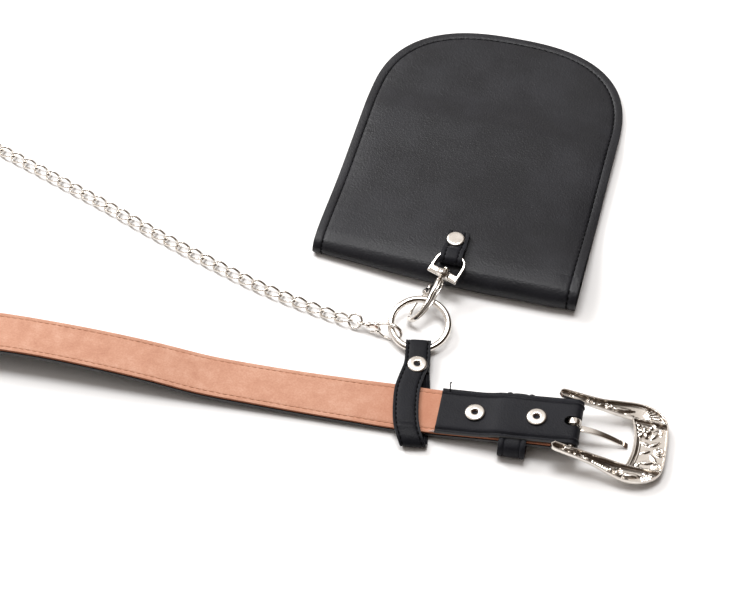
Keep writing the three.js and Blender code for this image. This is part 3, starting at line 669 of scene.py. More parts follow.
# %% The relief of a sewn panel
def sewn_relief(x, y, inset, around):
    """Height added by the seam's groove, the padding inside it and the leather's unevenness."""
    stitch = 0.5 + 0.5 * math.cos(2 * math.pi * around / SEAM_PITCH)
    groove = (-0.5 - 0.4 * stitch) * bell(inset - SEAM, SEAM_WIDTH)
    crown = 0.5 * smooth(SEAM, SEAM + 9, inset)
    margin = -0.12 * (1 - smooth(0, 1.2, inset))
    pucker = 0.11 * noise.noise(Vector((around / 3.4, 0, 0))) * bell(inset - SEAM - 1.5, 3)
    broad = 0.55 * noise.noise(Vector((x / 46, y / 52, 3.1)))
    narrow = 0.2 * noise.noise(Vector((x / 17, y / 21, 7)))
    return groove + crown + margin + pucker + (broad + narrow) * smooth(3, 30, inset)


def shoulder(x, y):
    """The leather starts to come down gently before it turns round the fold."""
    radius, middle = fold_at(x)
    return SHOULDER_DROP * (1 - smooth(-1, SHOULDER_LENGTH, y - middle + radius))


def top_point(x, y, inset, around):
    height = front_base(y) + 1.5 * POUCH_WALL + GAP + pocket_height(x, y) - shoulder(x, y)
    return Vector((x, y, height + sewn_relief(x, y, inset, around)))


# %% [markdown]
# The fan's lower border and the fold's first row are made by the same function with the same columns, so
# merging doubles joins the two grids into one sheet.

# %% The back panel
def back_fan():
    route, stops = arched_outline(TOP_START, 0.85)

    def place(row, column):
        flat = ring_point(route, stops[row], RING_INSETS[column])
        return top_point(flat.x, flat.y, RING_INSETS[column], stops[row])

    return grid(len(stops) - 1, len(RING_INSETS) - 1, place)


FOLD_COLUMNS = [(-1, inset) for inset in RING_INSETS] + [(1, inset) for inset in RING_INSETS[-2::-1]]
FOLD_TURNS = [-270 + 6 * i for i in range(31)]
FLAP_ROWS = [8, 11, 15, 20, 26, 34, 44, 54, 62, 68, 74, 79, 84, 88, 91.5, 94.5, 97, 98.6, 99.6, FLAP]


def flap_half(y):
    rise = min(max((y - FLAP + FLAP_CORNER) / FLAP_CORNER, 0), 0.998)
    return HALF_WIDTH * (1 - rise**SQUARENESS) ** (1 / SQUARENESS)


def fold_surface(x, turn, height):
    """A place on the fold, turned round its middle line, at a height over the leather's outside."""
    radius, middle = fold_at(x)
    c, s = circle(turn)
    y = middle + (radius + height) * c
    return Vector((x, y, radius + (radius + height) * s - shoulder(x, y) * (1 + s) / 2))


def fold_point(row, column):
    side, inset = FOLD_COLUMNS[column]
    x = side * (HALF_WIDTH - inset)
    if row == 0:
        return top_point(x, TOP_START, inset, 0 if side < 0 else 500)
    if row > len(FOLD_TURNS):
        y = FLAP_ROWS[row - len(FOLD_TURNS) - 1]
        return Vector((x * flap_half(y) / HALF_WIDTH, y, POUCH_WALL / 2))
    turn = FOLD_TURNS[row - 1]
    share = (turn + 90) / -180
    relief = sewn_relief(x, 0, inset, turn / 30) * smooth(0, 0.5, share)
    return fold_surface(x, turn, relief - POUCH_WALL / 2)


def pouch_back():
    fold = grid(len(FOLD_TURNS) + len(FLAP_ROWS), len(FOLD_COLUMNS) - 1, fold_point)
    return closed(add(back_fan(), fold))


back = leather_piece("back_panel", pouch_back(), POUCH_WALL, 0.35, "pouch_back", POUCH_LEATHER)
print("back panel:", len(back.data.polygons), "faces before its wall")


# %% [markdown]
# The pocket panel lies between the flap and the back, and only its rim shows, so it needs fewer rings.

# %% The pocket panel
def pocket_panel():
    route, stops = arched_outline(MOUTH, 3)

    def place(row, column):
        inset = RING_INSETS[column]
        flat = ring_point(route, stops[row], inset)
        press = -0.1 * (1 - smooth(0, 1.5, inset))
        return Vector((flat.x, flat.y, front_base(flat.y) + POUCH_WALL / 2 + press * (flat.y < FLAP)))

    return grid(len(stops) - 1, len(RING_INSETS) - 1, place)


leather_piece("pocket_panel", pocket_panel(), POUCH_WALL, 0.35, "pouch_front", POUCH_LEATHER)


# %% The pouch's seam
def seam_on_top(distance):
    flat = ring_point(SEAM_ROUTE, distance, SEAM)
    return top_point(flat.x, flat.y, SEAM, 0) + Vector((0, 0, POUCH_WALL / 2 + 0.35))


def seam_on_fold(side):
    return lambda turn: fold_surface(side * (HALF_WIDTH - SEAM), turn, 0.05)


SEAM_ROUTE = arched_outline(TOP_START, 2)[0]
seam = sew(bmesh.new(), seam_on_top, 0, SEAM_ROUTE.length, pitch=SEAM_PITCH, gauge=0.42, share=0.7)
for side in (-1, 1):
    sew(seam, seam_on_fold(side), -270, -100, pitch=28, gauge=0.3)
thread_piece("pouch_seam", seam)
print("the seam is", round(SEAM_ROUTE.length), "mm long")

# %% [markdown]
# ## Straps
#
# The belt, the hanger, the tab and the keeper are all bands of even thickness. A band is a row of
# stations: the middle of the leather, the direction across it and half its width. The stations are joined
# by the smooth curve from above, seven numbers at a time, so that the turn of the band is smoothed as
# well. The same band also tells where a stitch at some distance and offset has to lie.


# %% A band of leather
class Strap:
    """A band through stations of (middle, direction across, half width)."""

    def __init__(self, stations, steps=12):
        rows = through([(*middle, *across, half) for middle, across, half in stations], steps)
        self.middles = [row[:3] for row in rows]
        self.acrosses = [Vector(row[3:6]) for row in rows]
        self.halves = [row[6] for row in rows]
        self.route = Route(self.middles)
        self.length = self.route.length

    def frame(self, distance):
        marks = self.route.marks
        i = min(max(bisect.bisect_right(marks, distance), 1), len(marks) - 1)
        share = min(max((distance - marks[i - 1]) / max(marks[i] - marks[i - 1], 1e-9), 0), 1)
        across = self.acrosses[i - 1].lerp(self.acrosses[i], share).normalized()
        half = self.halves[i - 1] + (self.halves[i] - self.halves[i - 1]) * share
        up = across.cross(self.route.along(distance, 0.3)).normalized()
        return self.route.at(distance), across, up, half

    def place(self, distance, offset, height=0):
        middle, across, up, _ = self.frame(distance)
        return middle + across * offset + up * height

    def sheet(self, step, insets, relief):
        """A grid along the band. Insets are from one edge; the other half mirrors them."""
        count = round(self.length / step)
        frames = [(self.length * i / count, *self.frame(self.length * i / count)) for i in range(count + 1)]
        full = max(self.halves)
        shares = [inset / full - 1 for inset in insets] + [1 - inset / full for inset in reversed(insets)]

        def place(row, column):
            distance, middle, across, up, half = frames[row]
            offset = shares[column] * half
            return middle + across * offset + up * relief(distance, offset, half - abs(offset))

        return grid(count, len(shares) - 1, place)


def furrow(inset, at, depth, width=0.35):
    """The groove that a row of stitches pulls in, at a distance from the edge."""
    return -depth * bell(inset - at, width)


def frame_matrix(at, along, side):
    """A frame whose x runs along one direction, with its y in the plane of a second one."""
    x = along.normalized()
    z = x.cross(side).normalized()
    y = z.cross(x)
    return Matrix.Translation(at) @ Matrix((x, y, z)).transposed().to_4x4()


# %% [markdown]
# The belt's holes and the prong's slot are punched through the finished band. The cutter is a plain tool in
# a Boolean modifier. The result is kept as the mesh, the tool is thrown away, and the band's bevel is
# made after that, so the punched rims are softened with the outer ones.


# %% Punched holes
def punch(made, cutter):
    """Cuts a closed bmesh, in millimetres, out of a piece, and keeps the result as its mesh."""
    bmesh.ops.recalc_face_normals(cutter, faces=cutter.faces)
    bmesh.ops.transform(cutter, matrix=TO_METRES, verts=cutter.verts)
    tool_mesh = mesh_of(cutter, "tool")
    cut = made.modifiers.new("cut", "BOOLEAN")
    cut.object = new_object("tool", tool_mesh)
    cut.operation = "DIFFERENCE"
    cut.solver = "EXACT"
    state = made.evaluated_get(bpy.context.evaluated_depsgraph_get())
    result = bpy.data.meshes.new_from_object(state)
    old = made.data
    made.modifiers.clear()
    made.data = result
    result.name = old.name
    for mesh in (old, tool_mesh):
        bpy.data.meshes.remove(mesh)


def add_cylinder(bm, radius, matrix, low, high, sides=32):
    bmesh.ops.create_cone(
        bm, cap_ends=True, segments=sides, radius1=radius, radius2=radius, depth=high - low,
        matrix=matrix @ Matrix.Translation((0, 0, (low + high) / 2)),
    )


# %% [markdown]
# ## Tab on the pouch
#
# A short strap goes round the flat eye of the hook and is riveted to the pouch. Its edges are turned in
# and stitched, which shows as a dark line on each side.

# %% The tab
TAB_X, TAB_WIDTH, TAB_WALL, TAB_RIVET, TAB_SEAM = 3.2, 10.8, 1.2, (2.4, 15.1), 2.2
TAB_ROUTE = [
    (20.5, 13.15), (12, 13.15), (7, 13.15), (3.4, 13.15), (1, 13.6), (0, 15.2), (1, 16.8),
    (3.6, 17.4), (6.6, 17.4), (8.4, 16.4), (9.8, 14.95), (13, 14.65), (19, 14.68), (20.5, 14.85),
]
tab_rows = [(Vector((TAB_X, y, z)), Vector((1, 0, 0)), TAB_WIDTH / 2) for y, z in TAB_ROUTE]
tab_strap = Strap(tab_rows)


def tab_relief(distance, offset, inset):
    ends = min(tab_strap.length - distance, 6)
    line = furrow(inset, TAB_SEAM, 0.45) + furrow(ends, TAB_SEAM, 0.45) * smooth(1, 2, inset)
    return line + 0.15 * smooth(TAB_SEAM, TAB_SEAM + 2.5, inset)


INSETS = [0, 0.35, 0.8, 1.4, 1.8, 2.0, 2.2, 2.4, 2.6, 3.0, 3.8, 4.8]
leather_piece("pouch_tab", tab_strap.sheet(0.5, INSETS, tab_relief), TAB_WALL, 0.28)
print("the tab's strap is", round(tab_strap.length), "mm long")


# %% The tab's stitches
def sew_sides(strap, start, end, offset, height, **stitch):
    """A row of stitches along each side of a strap."""
    bm = bmesh.new()
    for side in (-1, 1):
        sew(bm, lambda distance: strap.place(distance, side * offset, height), start, end, **stitch)
    return bm


tab_seam = sew_sides(
    tab_strap, 22, tab_strap.length - 2, TAB_WIDTH / 2 - TAB_SEAM, 0.45, pitch=2.3, gauge=0.32, share=0.66
)
thread_piece("pouch_tab_seam", tab_seam)

# %% [markdown]
# ## Belt
#
# The belt lies with its lining up. It is drawn from a short table: where it runs, how high its underside
# is and how far it rolls towards the viewer. The outer leather goes under the lining, round the buckle's
# bar and back on top, and the folded end steps up where it covers the keeper.

# %% The belt's sizes
BELT_WIDTH, OUTER_WALL, LINING_WALL, TIP, TIP_LENGTH = 25, 1.3, 1.2, -272, 15
HOLE_RADIUS, HOLES = 1.5, (-248, -228, -208)
SLOT_LENGTH, SLOT_WIDTH = 10.6, 5.2
BAR_AT, BAR_RADIUS, BUCKLE_TURN = Vector((80.2, -77.1, 11.3)), 1.7, 3.57
LINING_END = 72.5
BELT_ROUTE = [  # x, y, height of the underside, roll in degrees
    (-272, -95.5, 0.6, 0), (-250, -95.4, 3, 4), (-225, -94.6, 7, 8), (-198, -92.9, 9.4, 9),
    (-173, -91.2, 9.2, 10), (-147, -89.9, 8, 9), (-121, -88.9, 6, 8), (-95, -88, 2.9, 7),
    (-70, -86.47, 1.7, 6), (-46, -84.97, 1.3, 4), (-22, -83.47, 1.6, 1), (-4, -82.35, 2, -2),
    (16, -81.1, 2.7, -1), (35, -79.91, 4.4, 0), (55, -78.67, 6.3, 0), (70, -77.73, 7.4, 0),
    (80, -77.11, 8, 0), (90, -76.49, 8.1, 0),
]
FLAP_ROUTE = [  # x, height of the folded end's middle over the belt's underside
    (70, 5.45), (60.5, 5.25), (46.5, 5.25), (42, 4.3), (37, 3.75), (28, 3.75), (22, 3.75), (17.5, 3.78),
]


# %% Where the belt lies
def spline(table, value):
    """The other columns of a table at a value of its first one, smoothly."""
    last = len(table) - 1
    i = min(max(bisect.bisect_right([row[0] for row in table], value), 1), last)

    def slope(k):
        before, after = table[max(k - 1, 0)], table[min(k + 1, last)]
        return (Vector(after[1:]) - Vector(before[1:])) / (after[0] - before[0])

    (start, *low), (end, *high) = table[i - 1], table[i]
    low, high, step = Vector(low), Vector(high), end - start
    t = (value - start) / step
    first, second = slope(i - 1) * step, slope(i) * step
    rise = high - low
    return low + first * t + (rise * 3 - first * 2 - second) * t * t + (first + second - rise * 2) * t**3


def belt_frame(x):
    """Underside, direction towards the near edge and upwards direction of the belt."""
    def under(at):
        y, z, _ = spline(BELT_ROUTE, at)
        return Vector((at, y, z))

    along = (under(x + 0.5) - under(x - 0.5)).normalized()
    level = Vector((along.y, -along.x, 0)).normalized()
    across = leaning(level, spline(BELT_ROUTE, x)[2])
    return under(x), across, across.cross(along).normalized()


def belt_row(x, height, inset=0):
    under, across, up = belt_frame(x)
    inside = min((x - TIP) / TIP_LENGTH, 1)
    half = BELT_WIDTH / 2 * max(inside, 0.02) ** 0.55
    return under + up * height, across, half - inset


def fold_row(turn):
    reach = BAR_RADIUS + GAP + OUTER_WALL / 2
    return BAR_AT + reach * leaning(heading(BUCKLE_TURN), turn), heading(BUCKLE_TURN - 90), BELT_WIDTH / 2


# %% The outer leather
BELT_STEPS = [0.4, 1.5, 3, 5, 7.5, 10.5, 14, *range(18, 334, 4), 335, 339, LINING_END - TIP]
outer_strap = Strap([
    *(belt_row(TIP + step, OUTER_WALL / 2) for step in BELT_STEPS),
    *(fold_row(turn) for turn in range(-90, 91, 15)),
    *(belt_row(x, height) for x, height in FLAP_ROUTE),
], steps=3)
FLAP_LENGTH, BELT_SEAM, SEAM_FROM_END = 62, 2.5, 3.2
FLAP_START = outer_strap.length - FLAP_LENGTH


def outer_relief(distance, offset, inset):
    """Stitch furrows and a soft crown, and the swelling where the flap runs over the keeper."""
    on_flap = smooth(FLAP_START, FLAP_START + 6, distance)
    keeper_swell = 0.45 * bell(outer_strap.length - distance - 36, 7) * smooth(9, 12, abs(offset))
    crown = 0.22 * smooth(BELT_SEAM, BELT_SEAM + 4, inset)
    wave = 0.16 * noise.noise(Vector((distance / 13, offset / 11, 0)))
    rim = 0.3 * bell(inset - 1.1, 0.8)
    return furrow(inset, BELT_SEAM, 0.5) + on_flap * (crown + wave + keeper_swell + rim)


BELT_INSETS = [0, 0.4, 0.9, 1.4, 1.85, 2.2, 2.5, 2.8, 3.2, 3.9, 5, 6.6, 8.6, 11]
outer = leather_piece("belt_outer", outer_strap.sheet(1.1, BELT_INSETS, outer_relief), OUTER_WALL)
at_bar = Matrix.Translation(BAR_AT) @ Matrix.Rotation(math.radians(BUCKLE_TURN), 4, "Z")
slot_cutter, slot_end = bmesh.new(), bmesh.new()
bmesh.ops.create_cube(slot_cutter, size=1, matrix=(
    at_bar @ Matrix.Translation((3.2, 0, 0)) @ Matrix.Diagonal((SLOT_LENGTH, SLOT_WIDTH, 14, 1))
))
add_cylinder(slot_end, SLOT_WIDTH / 2, at_bar @ Matrix.Translation((-2.1, 0, 0)), -7, 7)
punch(outer, slot_cutter)
punch(outer, slot_end)


def belt_hole_cutter():
    cutter = bmesh.new()
    for x in HOLES:
        under, across, up = belt_frame(x)
        upright = frame_matrix(under, up, across) @ Matrix.Rotation(math.pi / 2, 4, "Y")
        add_cylinder(cutter, HOLE_RADIUS, upright, -5, 5)
    return cutter


punch(outer, belt_hole_cutter())
soften(outer, 0.3)
print("the outer leather is", round(outer_strap.length), "mm long, folded end included")

# %% [markdown]
# The lining is a little narrower than the outer leather, so a black line of the outer edge shows beside
# it. It stops before the buckle. Both layers are sewn together by two tan rows.

# %% The lining
lining_strap = Strap([
    belt_row(TIP + step + 0.3, OUTER_WALL + GAP + LINING_WALL / 2, 0.4) for step in BELT_STEPS
], steps=3)


def lining_relief(distance, offset, inset):
    wave = 0.25 * noise.noise(Vector((distance / 21, offset / 17, 5))) * smooth(0, 5, inset)
    edge_curl = -0.16 * (1 - smooth(0, 1.1, inset))
    return furrow(inset, BELT_SEAM - 0.4, 0.3, 0.4) + wave + edge_curl


lining_piece = piece(
    "belt_lining", lining_strap.sheet(1.3, BELT_INSETS, lining_relief), [TAN_LINING, RAW_EDGE],
    nodes=["belt_lining"], wall=LINING_WALL,
)
punch(lining_piece, belt_hole_cutter())
soften(lining_piece, 0.25)


# %% The belt's stitches
def on_belt(distance, offset):
    """A place on the swollen outer side of the black strap."""
    relief = outer_relief(distance, offset, BELT_WIDTH / 2 - abs(offset))
    return outer_strap.place(distance, offset, OUTER_WALL / 2 + relief + 0.12)


corner, near_line = outer_strap.length - SEAM_FROM_END, BELT_WIDTH / 2 - BELT_SEAM
tan_seam = sew_sides(
    lining_strap, 16, lining_strap.length - 1, near_line, LINING_WALL / 2 - 0.12,
    pitch=3.2, gauge=0.26, share=0.7,
)
black_seam = bmesh.new()
for side in (-1, 1):
    sew(black_seam, lambda distance: on_belt(distance, side * near_line), FLAP_START + 2,
        corner, pitch=3.0, gauge=0.52, share=0.64)
for end in ((corner - 1.2, near_line - 3.4), (corner - 2, near_line)):  # an L shaped back-tack
    a, b = on_belt(corner, near_line), on_belt(*end)
    sew(black_seam, lambda share: a.lerp(b, share), 0, 1, pitch=1, gauge=1.0, share=0.98)
piece("belt_seam", tan_seam, [TAN_THREAD])
thread_piece("flap_seam", black_seam)
print("two tan rows and two black ones")

# %% [markdown]
# ## Keeper
#
# The keeper is the loop that takes the belt's tip. Its ends are caught under the flap. It was creased
# along both sides, so two ridges stand beside a flat middle.

# %% The keeper
KEEPER_X, KEEPER_WIDTH, KEEPER_WALL, KEEPER_HEIGHT = 53.7, 12.5, 1.1, 3.72
KEEPER_ROUTE = [  # towards the near edge, share of the height from the ground to the top
    (3, 1), (9, 1), (13, 0.995), (16.4, 0.84), (17.6, 0.49), (16, 0.135), (12, 0.01), (4, 0), (-6, 0),
    (-11, 0.05), (-14.6, 0.32), (-15.2, 0.66), (-13.6, 0.943), (-10, 1), (-3, 1),
]


def keeper_rows():
    under, across, up = belt_frame(KEEPER_X)
    along = up.cross(across)
    low = KEEPER_WALL / 2 + 0.12
    top = (under + up * KEEPER_HEIGHT).z
    for near, share in KEEPER_ROUTE:
        z = low + share * (top - low)
        slope = heading(BUCKLE_TURN).lerp(along, smooth(low, top, z)).normalized()
        spot = under + across * near
        yield Vector((spot.x, spot.y, z)), -slope, KEEPER_WIDTH / 2


def keeper_relief(distance, offset, inset):
    ridge = 0.34 * bell(inset - 1.25, 0.75)
    return ridge + furrow(inset, 2.5, 0.42, 0.4) + 0.12 * smooth(3, 5, inset)


keeper_strap = Strap(list(keeper_rows()))
KEEPER_INSETS = [0, 0.35, 0.75, 1.2, 1.65, 2.0, 2.25, 2.5, 2.75, 3.1, 3.8, 5]
leather_piece("keeper_loop", keeper_strap.sheet(0.6, KEEPER_INSETS, keeper_relief), KEEPER_WALL, 0.3)

# %% [markdown]
# ## Hanger
#
# The hanger is one strap: it goes round the ring, down over the belt, under it and back up, and a rivet
# pinches the three layers together between the ring and the belt.

# %% The hanger
RING_RADIUS, RING_WIRE, RING_AT, RING_TILT, RING_HIGH = 13.8, 1.7, Vector((-3.7, -33.4, 5.75)), 9.5, 104
HANGER_TURN, HANGER_WIDTH, HANGER_WALL, HANGER_SEAM = -78.6, 12, 1.3, 1.5
HANGER_RIVET, HANGER_UNDER, HANGER_CREASE, HANGER_AT_EDGE = 11.6, 3.1, 73, 49
HANGER_ROUTE = [  # along from the ring's wire, sideways, height over the ground
    (14.5, -0.4, 4.75), (10.6, 0, 4.75), (7.6, 0, 4.6), (5, 0, 3.1), (2.8, 0, 1.2), (0, 0, 0.72),
    (-2.6, 0, 1), (-4.3, 0, 3.4), (-2.8, 0, 6.1), (0, 0, 6.45),
    (4, -0.1, 6.35), (10.3, -0.3, 6.35), (18, -2.4, 6.35), (25, -4, 6.4), (35, -4.4, 6.4),
    (44, -3.9, 6.3), (49.5, -2.8, 6.1), (53.4, -1.4, 5.1), (55.3, -0.2, 3.1), (53.4, 0.5, 1.1),
    (49, 0.6, 0.72), (40, 0.7, 0.68), (28, 0.7, 0.68), (22, 0.6, 1), (18.2, 0.3, 2.7),
    (14, 0, 3.1), (8.6, 0, 3.1),
]
HANGER_START = (
    Vector((RING_AT.x, RING_AT.y, 0))
    + heading(HANGER_TURN) * RING_RADIUS * math.cos(math.radians(RING_TILT))
)


def hanger_point(along, side, z):
    spot = HANGER_START + heading(HANGER_TURN) * along + heading(HANGER_TURN + 90) * side
    return spot + Vector((0, 0, z))


hanger_strap = Strap([
    (hanger_point(*row), heading(HANGER_TURN - 90), HANGER_WIDTH / 2) for row in HANGER_ROUTE
])


def hanger_relief(distance, offset, inset):
    wave = 0.14 * noise.noise(Vector((distance / 9, offset / 7, 2)))
    crown = 0.25 * smooth(HANGER_SEAM, HANGER_SEAM + 2.5, inset)
    crease = 0.4 * bell(distance - HANGER_CREASE - 2.2, 1.3) - 0.35 * bell(distance - HANGER_CREASE, 0.8)
    return furrow(inset, HANGER_SEAM, 0.45) + crown + (wave + crease) * smooth(0.5, 3, inset)


HANGER_INSETS = [0, 0.3, 0.7, 1.05, 1.3, 1.5, 1.7, 1.95, 2.4, 3.1, 4.2, 5.2]
leather_piece("hanger_loop", hanger_strap.sheet(0.6, HANGER_INSETS, hanger_relief), HANGER_WALL, 0.3)
hanger_seam = sew_sides(
    hanger_strap, 20, 106, HANGER_WIDTH / 2 - HANGER_SEAM, HANGER_WALL / 2 - 0.1,
    pitch=2.6, gauge=0.34, share=0.62,
)
thread_piece("hanger_seam", hanger_seam)
print("the hanger's strap is", round(hanger_strap.length), "mm long")

# %% [markdown]
# ## Loose ends
#
# Two small things tell that this was sewn by hand and handled: a thread end that stands up at the flap's
# far corner, with a knot on its tip, and a little pale lint where the hanger rubs the belt's near edge.


# %% Loose fibres
def fibre(points, gauge, knot=0.0):
    """A thin round thread through a few points, with closed ends."""
    line = Route(through(points, 6))
    steps = 20

    def place(row, column):
        share = row / steps
        spot, along = line.at(share * line.length), line.along(share * line.length, 0.2)
        side = along.cross(Vector((0.3, 1, 0.2))).normalized()
        c, s = ring_corner(column, 8)
        end = math.sqrt(max(1 - abs(2 * share - 1) ** 12, 0))
        radius = gauge * end * (1 + knot * bell(share - 0.95, 0.06))
        return spot + (side * c + along.cross(side) * s) * radius

    return closed(grid(steps, 8, place))


loose = outer_strap.place(outer_strap.length - 3.4, BELT_SEAM - BELT_WIDTH / 2, OUTER_WALL / 2)
bends = ((0.2, 0, -0.3), (0, 0.9, 1.8), (-0.1, 1.7, 3.6), (-0.4, 2.5, 5.2), (0.2, 2.9, 6.1))
thread_end = fibre([loose + Vector(bend) for bend in bends], 0.27, 1.1)
thread_piece("thread_end", thread_end)


noise.seed_set(1)  # a noise vector depends on this seed, which is the time of day until it is set


def lint(side, count):
    """Short curved fibres at one side of the hanger, on the belt's near edge."""
    bm = bmesh.new()
    x = HANGER_START.x + circle(HANGER_TURN)[0] * HANGER_AT_EDGE + side * (HANGER_WIDTH / 2 + 1.2)
    for i in range(count):
        wild = noise.noise_vector(Vector((i * 1.7, side * 3.1, 0.5)))
        under, across, up = belt_frame(x + side * abs(wild.x) * 4)
        top = OUTER_WALL + GAP + LINING_WALL + 0.05
        spot = under + across * (BELT_WIDTH / 2 - 1.1 + wild.y) + up * top
        reach = Vector((wild.z * 2.2, wild.x * 1.6, 0.15))
        add(bm, fibre([spot - reach, spot + Vector((0, 0, 0.35 + 0.3 * abs(wild.y))), spot + reach], 0.09))
    return bm


piece("lint", add(lint(-1, 4), lint(1, 6)), [WHITE_LINT])
print("a thread end and ten bits of lint")


# %% [markdown]
# ## Rivets
#
# Round parts are turned: a profile from the axis outwards is spun once round. The three tubular rivets
# have a rolled rim round an open tube, and the one on the tab is a plain cap with a soft edge. Each also
# gets its shank and its lower cap, so it is whole from below.


# %% Turned parts
def spin_round(bm, steps):
    """One full turn round z, joined where it meets."""
    bmesh.ops.spin(
        bm, geom=[*bm.verts, *bm.edges], angle=2 * math.pi, steps=steps, axis=(0, 0, 1), use_merge=True
    )


def turned(profile, frame=None, steps=48):
    """Spins a profile of (radius, height) round z."""
    bm = bmesh.new()
    corners = [bm.verts.new((radius, 0, z)) for radius, z in profile]
    for a, b in zip(corners, corners[1:]):
        bm.edges.new((a, b))
    spin_round(bm, steps)
    closed(bm)
    if frame:
        bmesh.ops.transform(bm, matrix=frame, verts=bm.verts)
    return bm


def rivet_profile(span, cap, tube):
    """Lower cap, shank and upper cap; the tube is the radius of its open hole, or 0."""
    low, high, shank = -0.4, span + 0.4, 1.4
    lower = [
        (0, low - 0.7), (cap - 1.2, low - 0.66), (cap - 0.4, low - 0.45), (cap, low - 0.15),
        (cap - 0.1, low), (shank, low), (shank, high), (cap - 0.1, high), (cap, high + 0.12),
        (cap - 0.15, high + 0.3), (cap - 0.45, high + 0.45),
    ]
    if not tube:
        return [
            *lower, (cap - 0.75, high + 0.56), (cap - 1.1, high + 0.6), (cap - 1.6, high + 0.6),
            (0, high + 0.6),
        ]
    return [
        *lower, (cap - 0.8, high + 0.62), (cap - 1.2, high + 0.68), (tube + 1.2, high + 0.72),
        (tube + 0.7, high + 0.74), (tube + 0.3, high + 0.72), (tube + 0.06, high + 0.52),
        (tube, high + 0.25), (tube - 0.08, high - 1.1), (0, high - 1.2),
    ]


def rivet(name, at, up, span, cap, tube):
    bm = turned(rivet_profile(span, cap, tube))
    # Faces inside the open tube take the painted shade.
    for face in bm.faces:
        middle = face.calc_center_median()
        inside = math.hypot(middle.x, middle.y) < tube and middle.z > span / 2
        face.material_index = int(inside)
    frame = frame_matrix(at, up, Vector((0, 1, 0))) @ Matrix.Rotation(math.pi / 2, 4, "Y")
    piece(name, bm, [STAMPED, PAINTED_SHADE_METAL], nodes=[name], frame_at=frame)


# %% The rivets
UP = Vector((0, 0, 1))
RIVET_CAP, TUBE = 4.7, 1.5
BELT_RIVETS = (("belt_rivet_1", 34.6, 4.4), ("belt_rivet_2", 63.2, 5.9))  # name, x, span
POUCH_TOP = 2 * fold_at(TAB_X)[0] - POUCH_WALL
rivet("pouch_rivet", Vector((*TAB_RIVET, POUCH_TOP)), UP, POUCH_WALL + 2 * (GAP + TAB_WALL), 4.4, 0)
rivet("hanger_rivet", hanger_point(HANGER_RIVET, 0, HANGER_UNDER - HANGER_WALL / 2), UP,
      3 * HANGER_WALL + 2 * GAP, RIVET_CAP, TUBE)
for name, x, span in BELT_RIVETS:
    under, across, up = belt_frame(x)
    rivet(name, under, up, span, RIVET_CAP, TUBE)
print("four rivets")

# %% [markdown]
# ## Ring
#
# The ring is round wire with a butt joint too fine to see. It leans, low where it lies in the hanger and
# high where the hook holds it, and mirrors the floor, the leather and the room.


# %% Round wire
def hoop(radius, wire, steps=96, sides=24):
    """A ring of round wire about z."""
    bm = bmesh.new()
    bmesh.ops.create_circle(bm, segments=sides, radius=wire, matrix=(
        Matrix.Translation((radius, 0, 0)) @ Matrix.Rotation(math.pi / 2, 4, "X")
    ))
    spin_round(bm, steps)
    bmesh.ops.recalc_face_normals(bm, faces=bm.faces)
    return bm


# %% The O-ring
ring_lean = math.radians(RING_TILT)
ring_axis = Vector((0, 0, math.cos(ring_lean))) - heading(RING_HIGH) * math.sin(ring_lean)
ring_turn = UP.rotation_difference(ring_axis).to_matrix().to_4x4()
nickel_piece("o_ring", hoop(RING_RADIUS, RING_WIRE), Matrix.Translation(RING_AT) @ ring_turn)

# %% [markdown]
# ## Snap hooks
#
# Both hooks were cast in two halves and plated: a bent body, a sprung gate and a swivel. Each member is a
# rod whose section changes along the way, so a few stations of place, width and thickness are enough. The
# section is a rounded box rather than an oval, and a rod can have grooves along its back.


# %% Rods with changing sections
def rod(stations, sides=20, steps=8, squareness=2.6, groove=None, dome=4):
    """A closed rod in the xy plane through stations of x, y, width in the plane and thickness.

    With dome 0 its ends are flat. A groove is a function of x and of the place across the back, -1 to 1."""
    rows = through(stations, steps)
    ends = [math.sin(math.radians(90 * i / dome)) for i in range(dome)]
    sections = []
    for i, row in enumerate(rows):
        before, after = rows[max(i - 1, 0)], rows[min(i + 1, len(rows) - 1)]
        along = Vector((after[0] - before[0], after[1] - before[1], 0)).normalized()
        sections.append((Vector((row[0], row[1], 0)), along, row[2] / 2, row[3] / 2))
    first, last = sections[0], sections[-1]

    def cap(section, sign):
        middle, along, wide, thick = section
        reach = min(wide, thick) if dome else 0
        return [
            (middle + along * (sign * reach * math.sqrt(1 - s * s)), along, wide * s, thick * s)
            for s in ends or [0]
        ]

    sections = [*cap(first, -1), *sections, *reversed(cap(last, 1))]

    def place(row, column):
        middle, along, wide, thick = sections[row]
        c, s = ring_corner(column, sides, squareness)
        if groove and c < 0:
            c *= 1 - groove(middle.x, s)
        return middle + Vector((-along.y, along.x, 0)) * (c * wide) + Vector((0, 0, s * thick))

    return closed(grid(len(sections) - 1, sides, place))


def turned_along_x(profile, steps=32):
    """A turned part whose axis is x, from a profile of (x, radius)."""
    return turned([(radius, x) for x, radius in profile], Matrix.Rotation(math.pi / 2, 4, "Y"), steps)


def disc_profile(low, high, radius, edge=0.2):
    return [
        (low, 0), (low, radius - edge), (low + edge, radius),
        (high - edge, radius), (high, radius - edge), (high, 0),
    ]


def post(*sizes):
    """A turned cylinder along the hook."""
    return turned_along_x(disc_profile(*sizes))


def disc(x, y, radius, low, high, edge=0.15):
    """A low cylinder square to the hook's plane, with softened edges."""
    profile = [(radius_at, z) for z, radius_at in disc_profile(low, high, radius, edge)]
    return turned(profile, Matrix.Translation((x, y, 0)), 28)


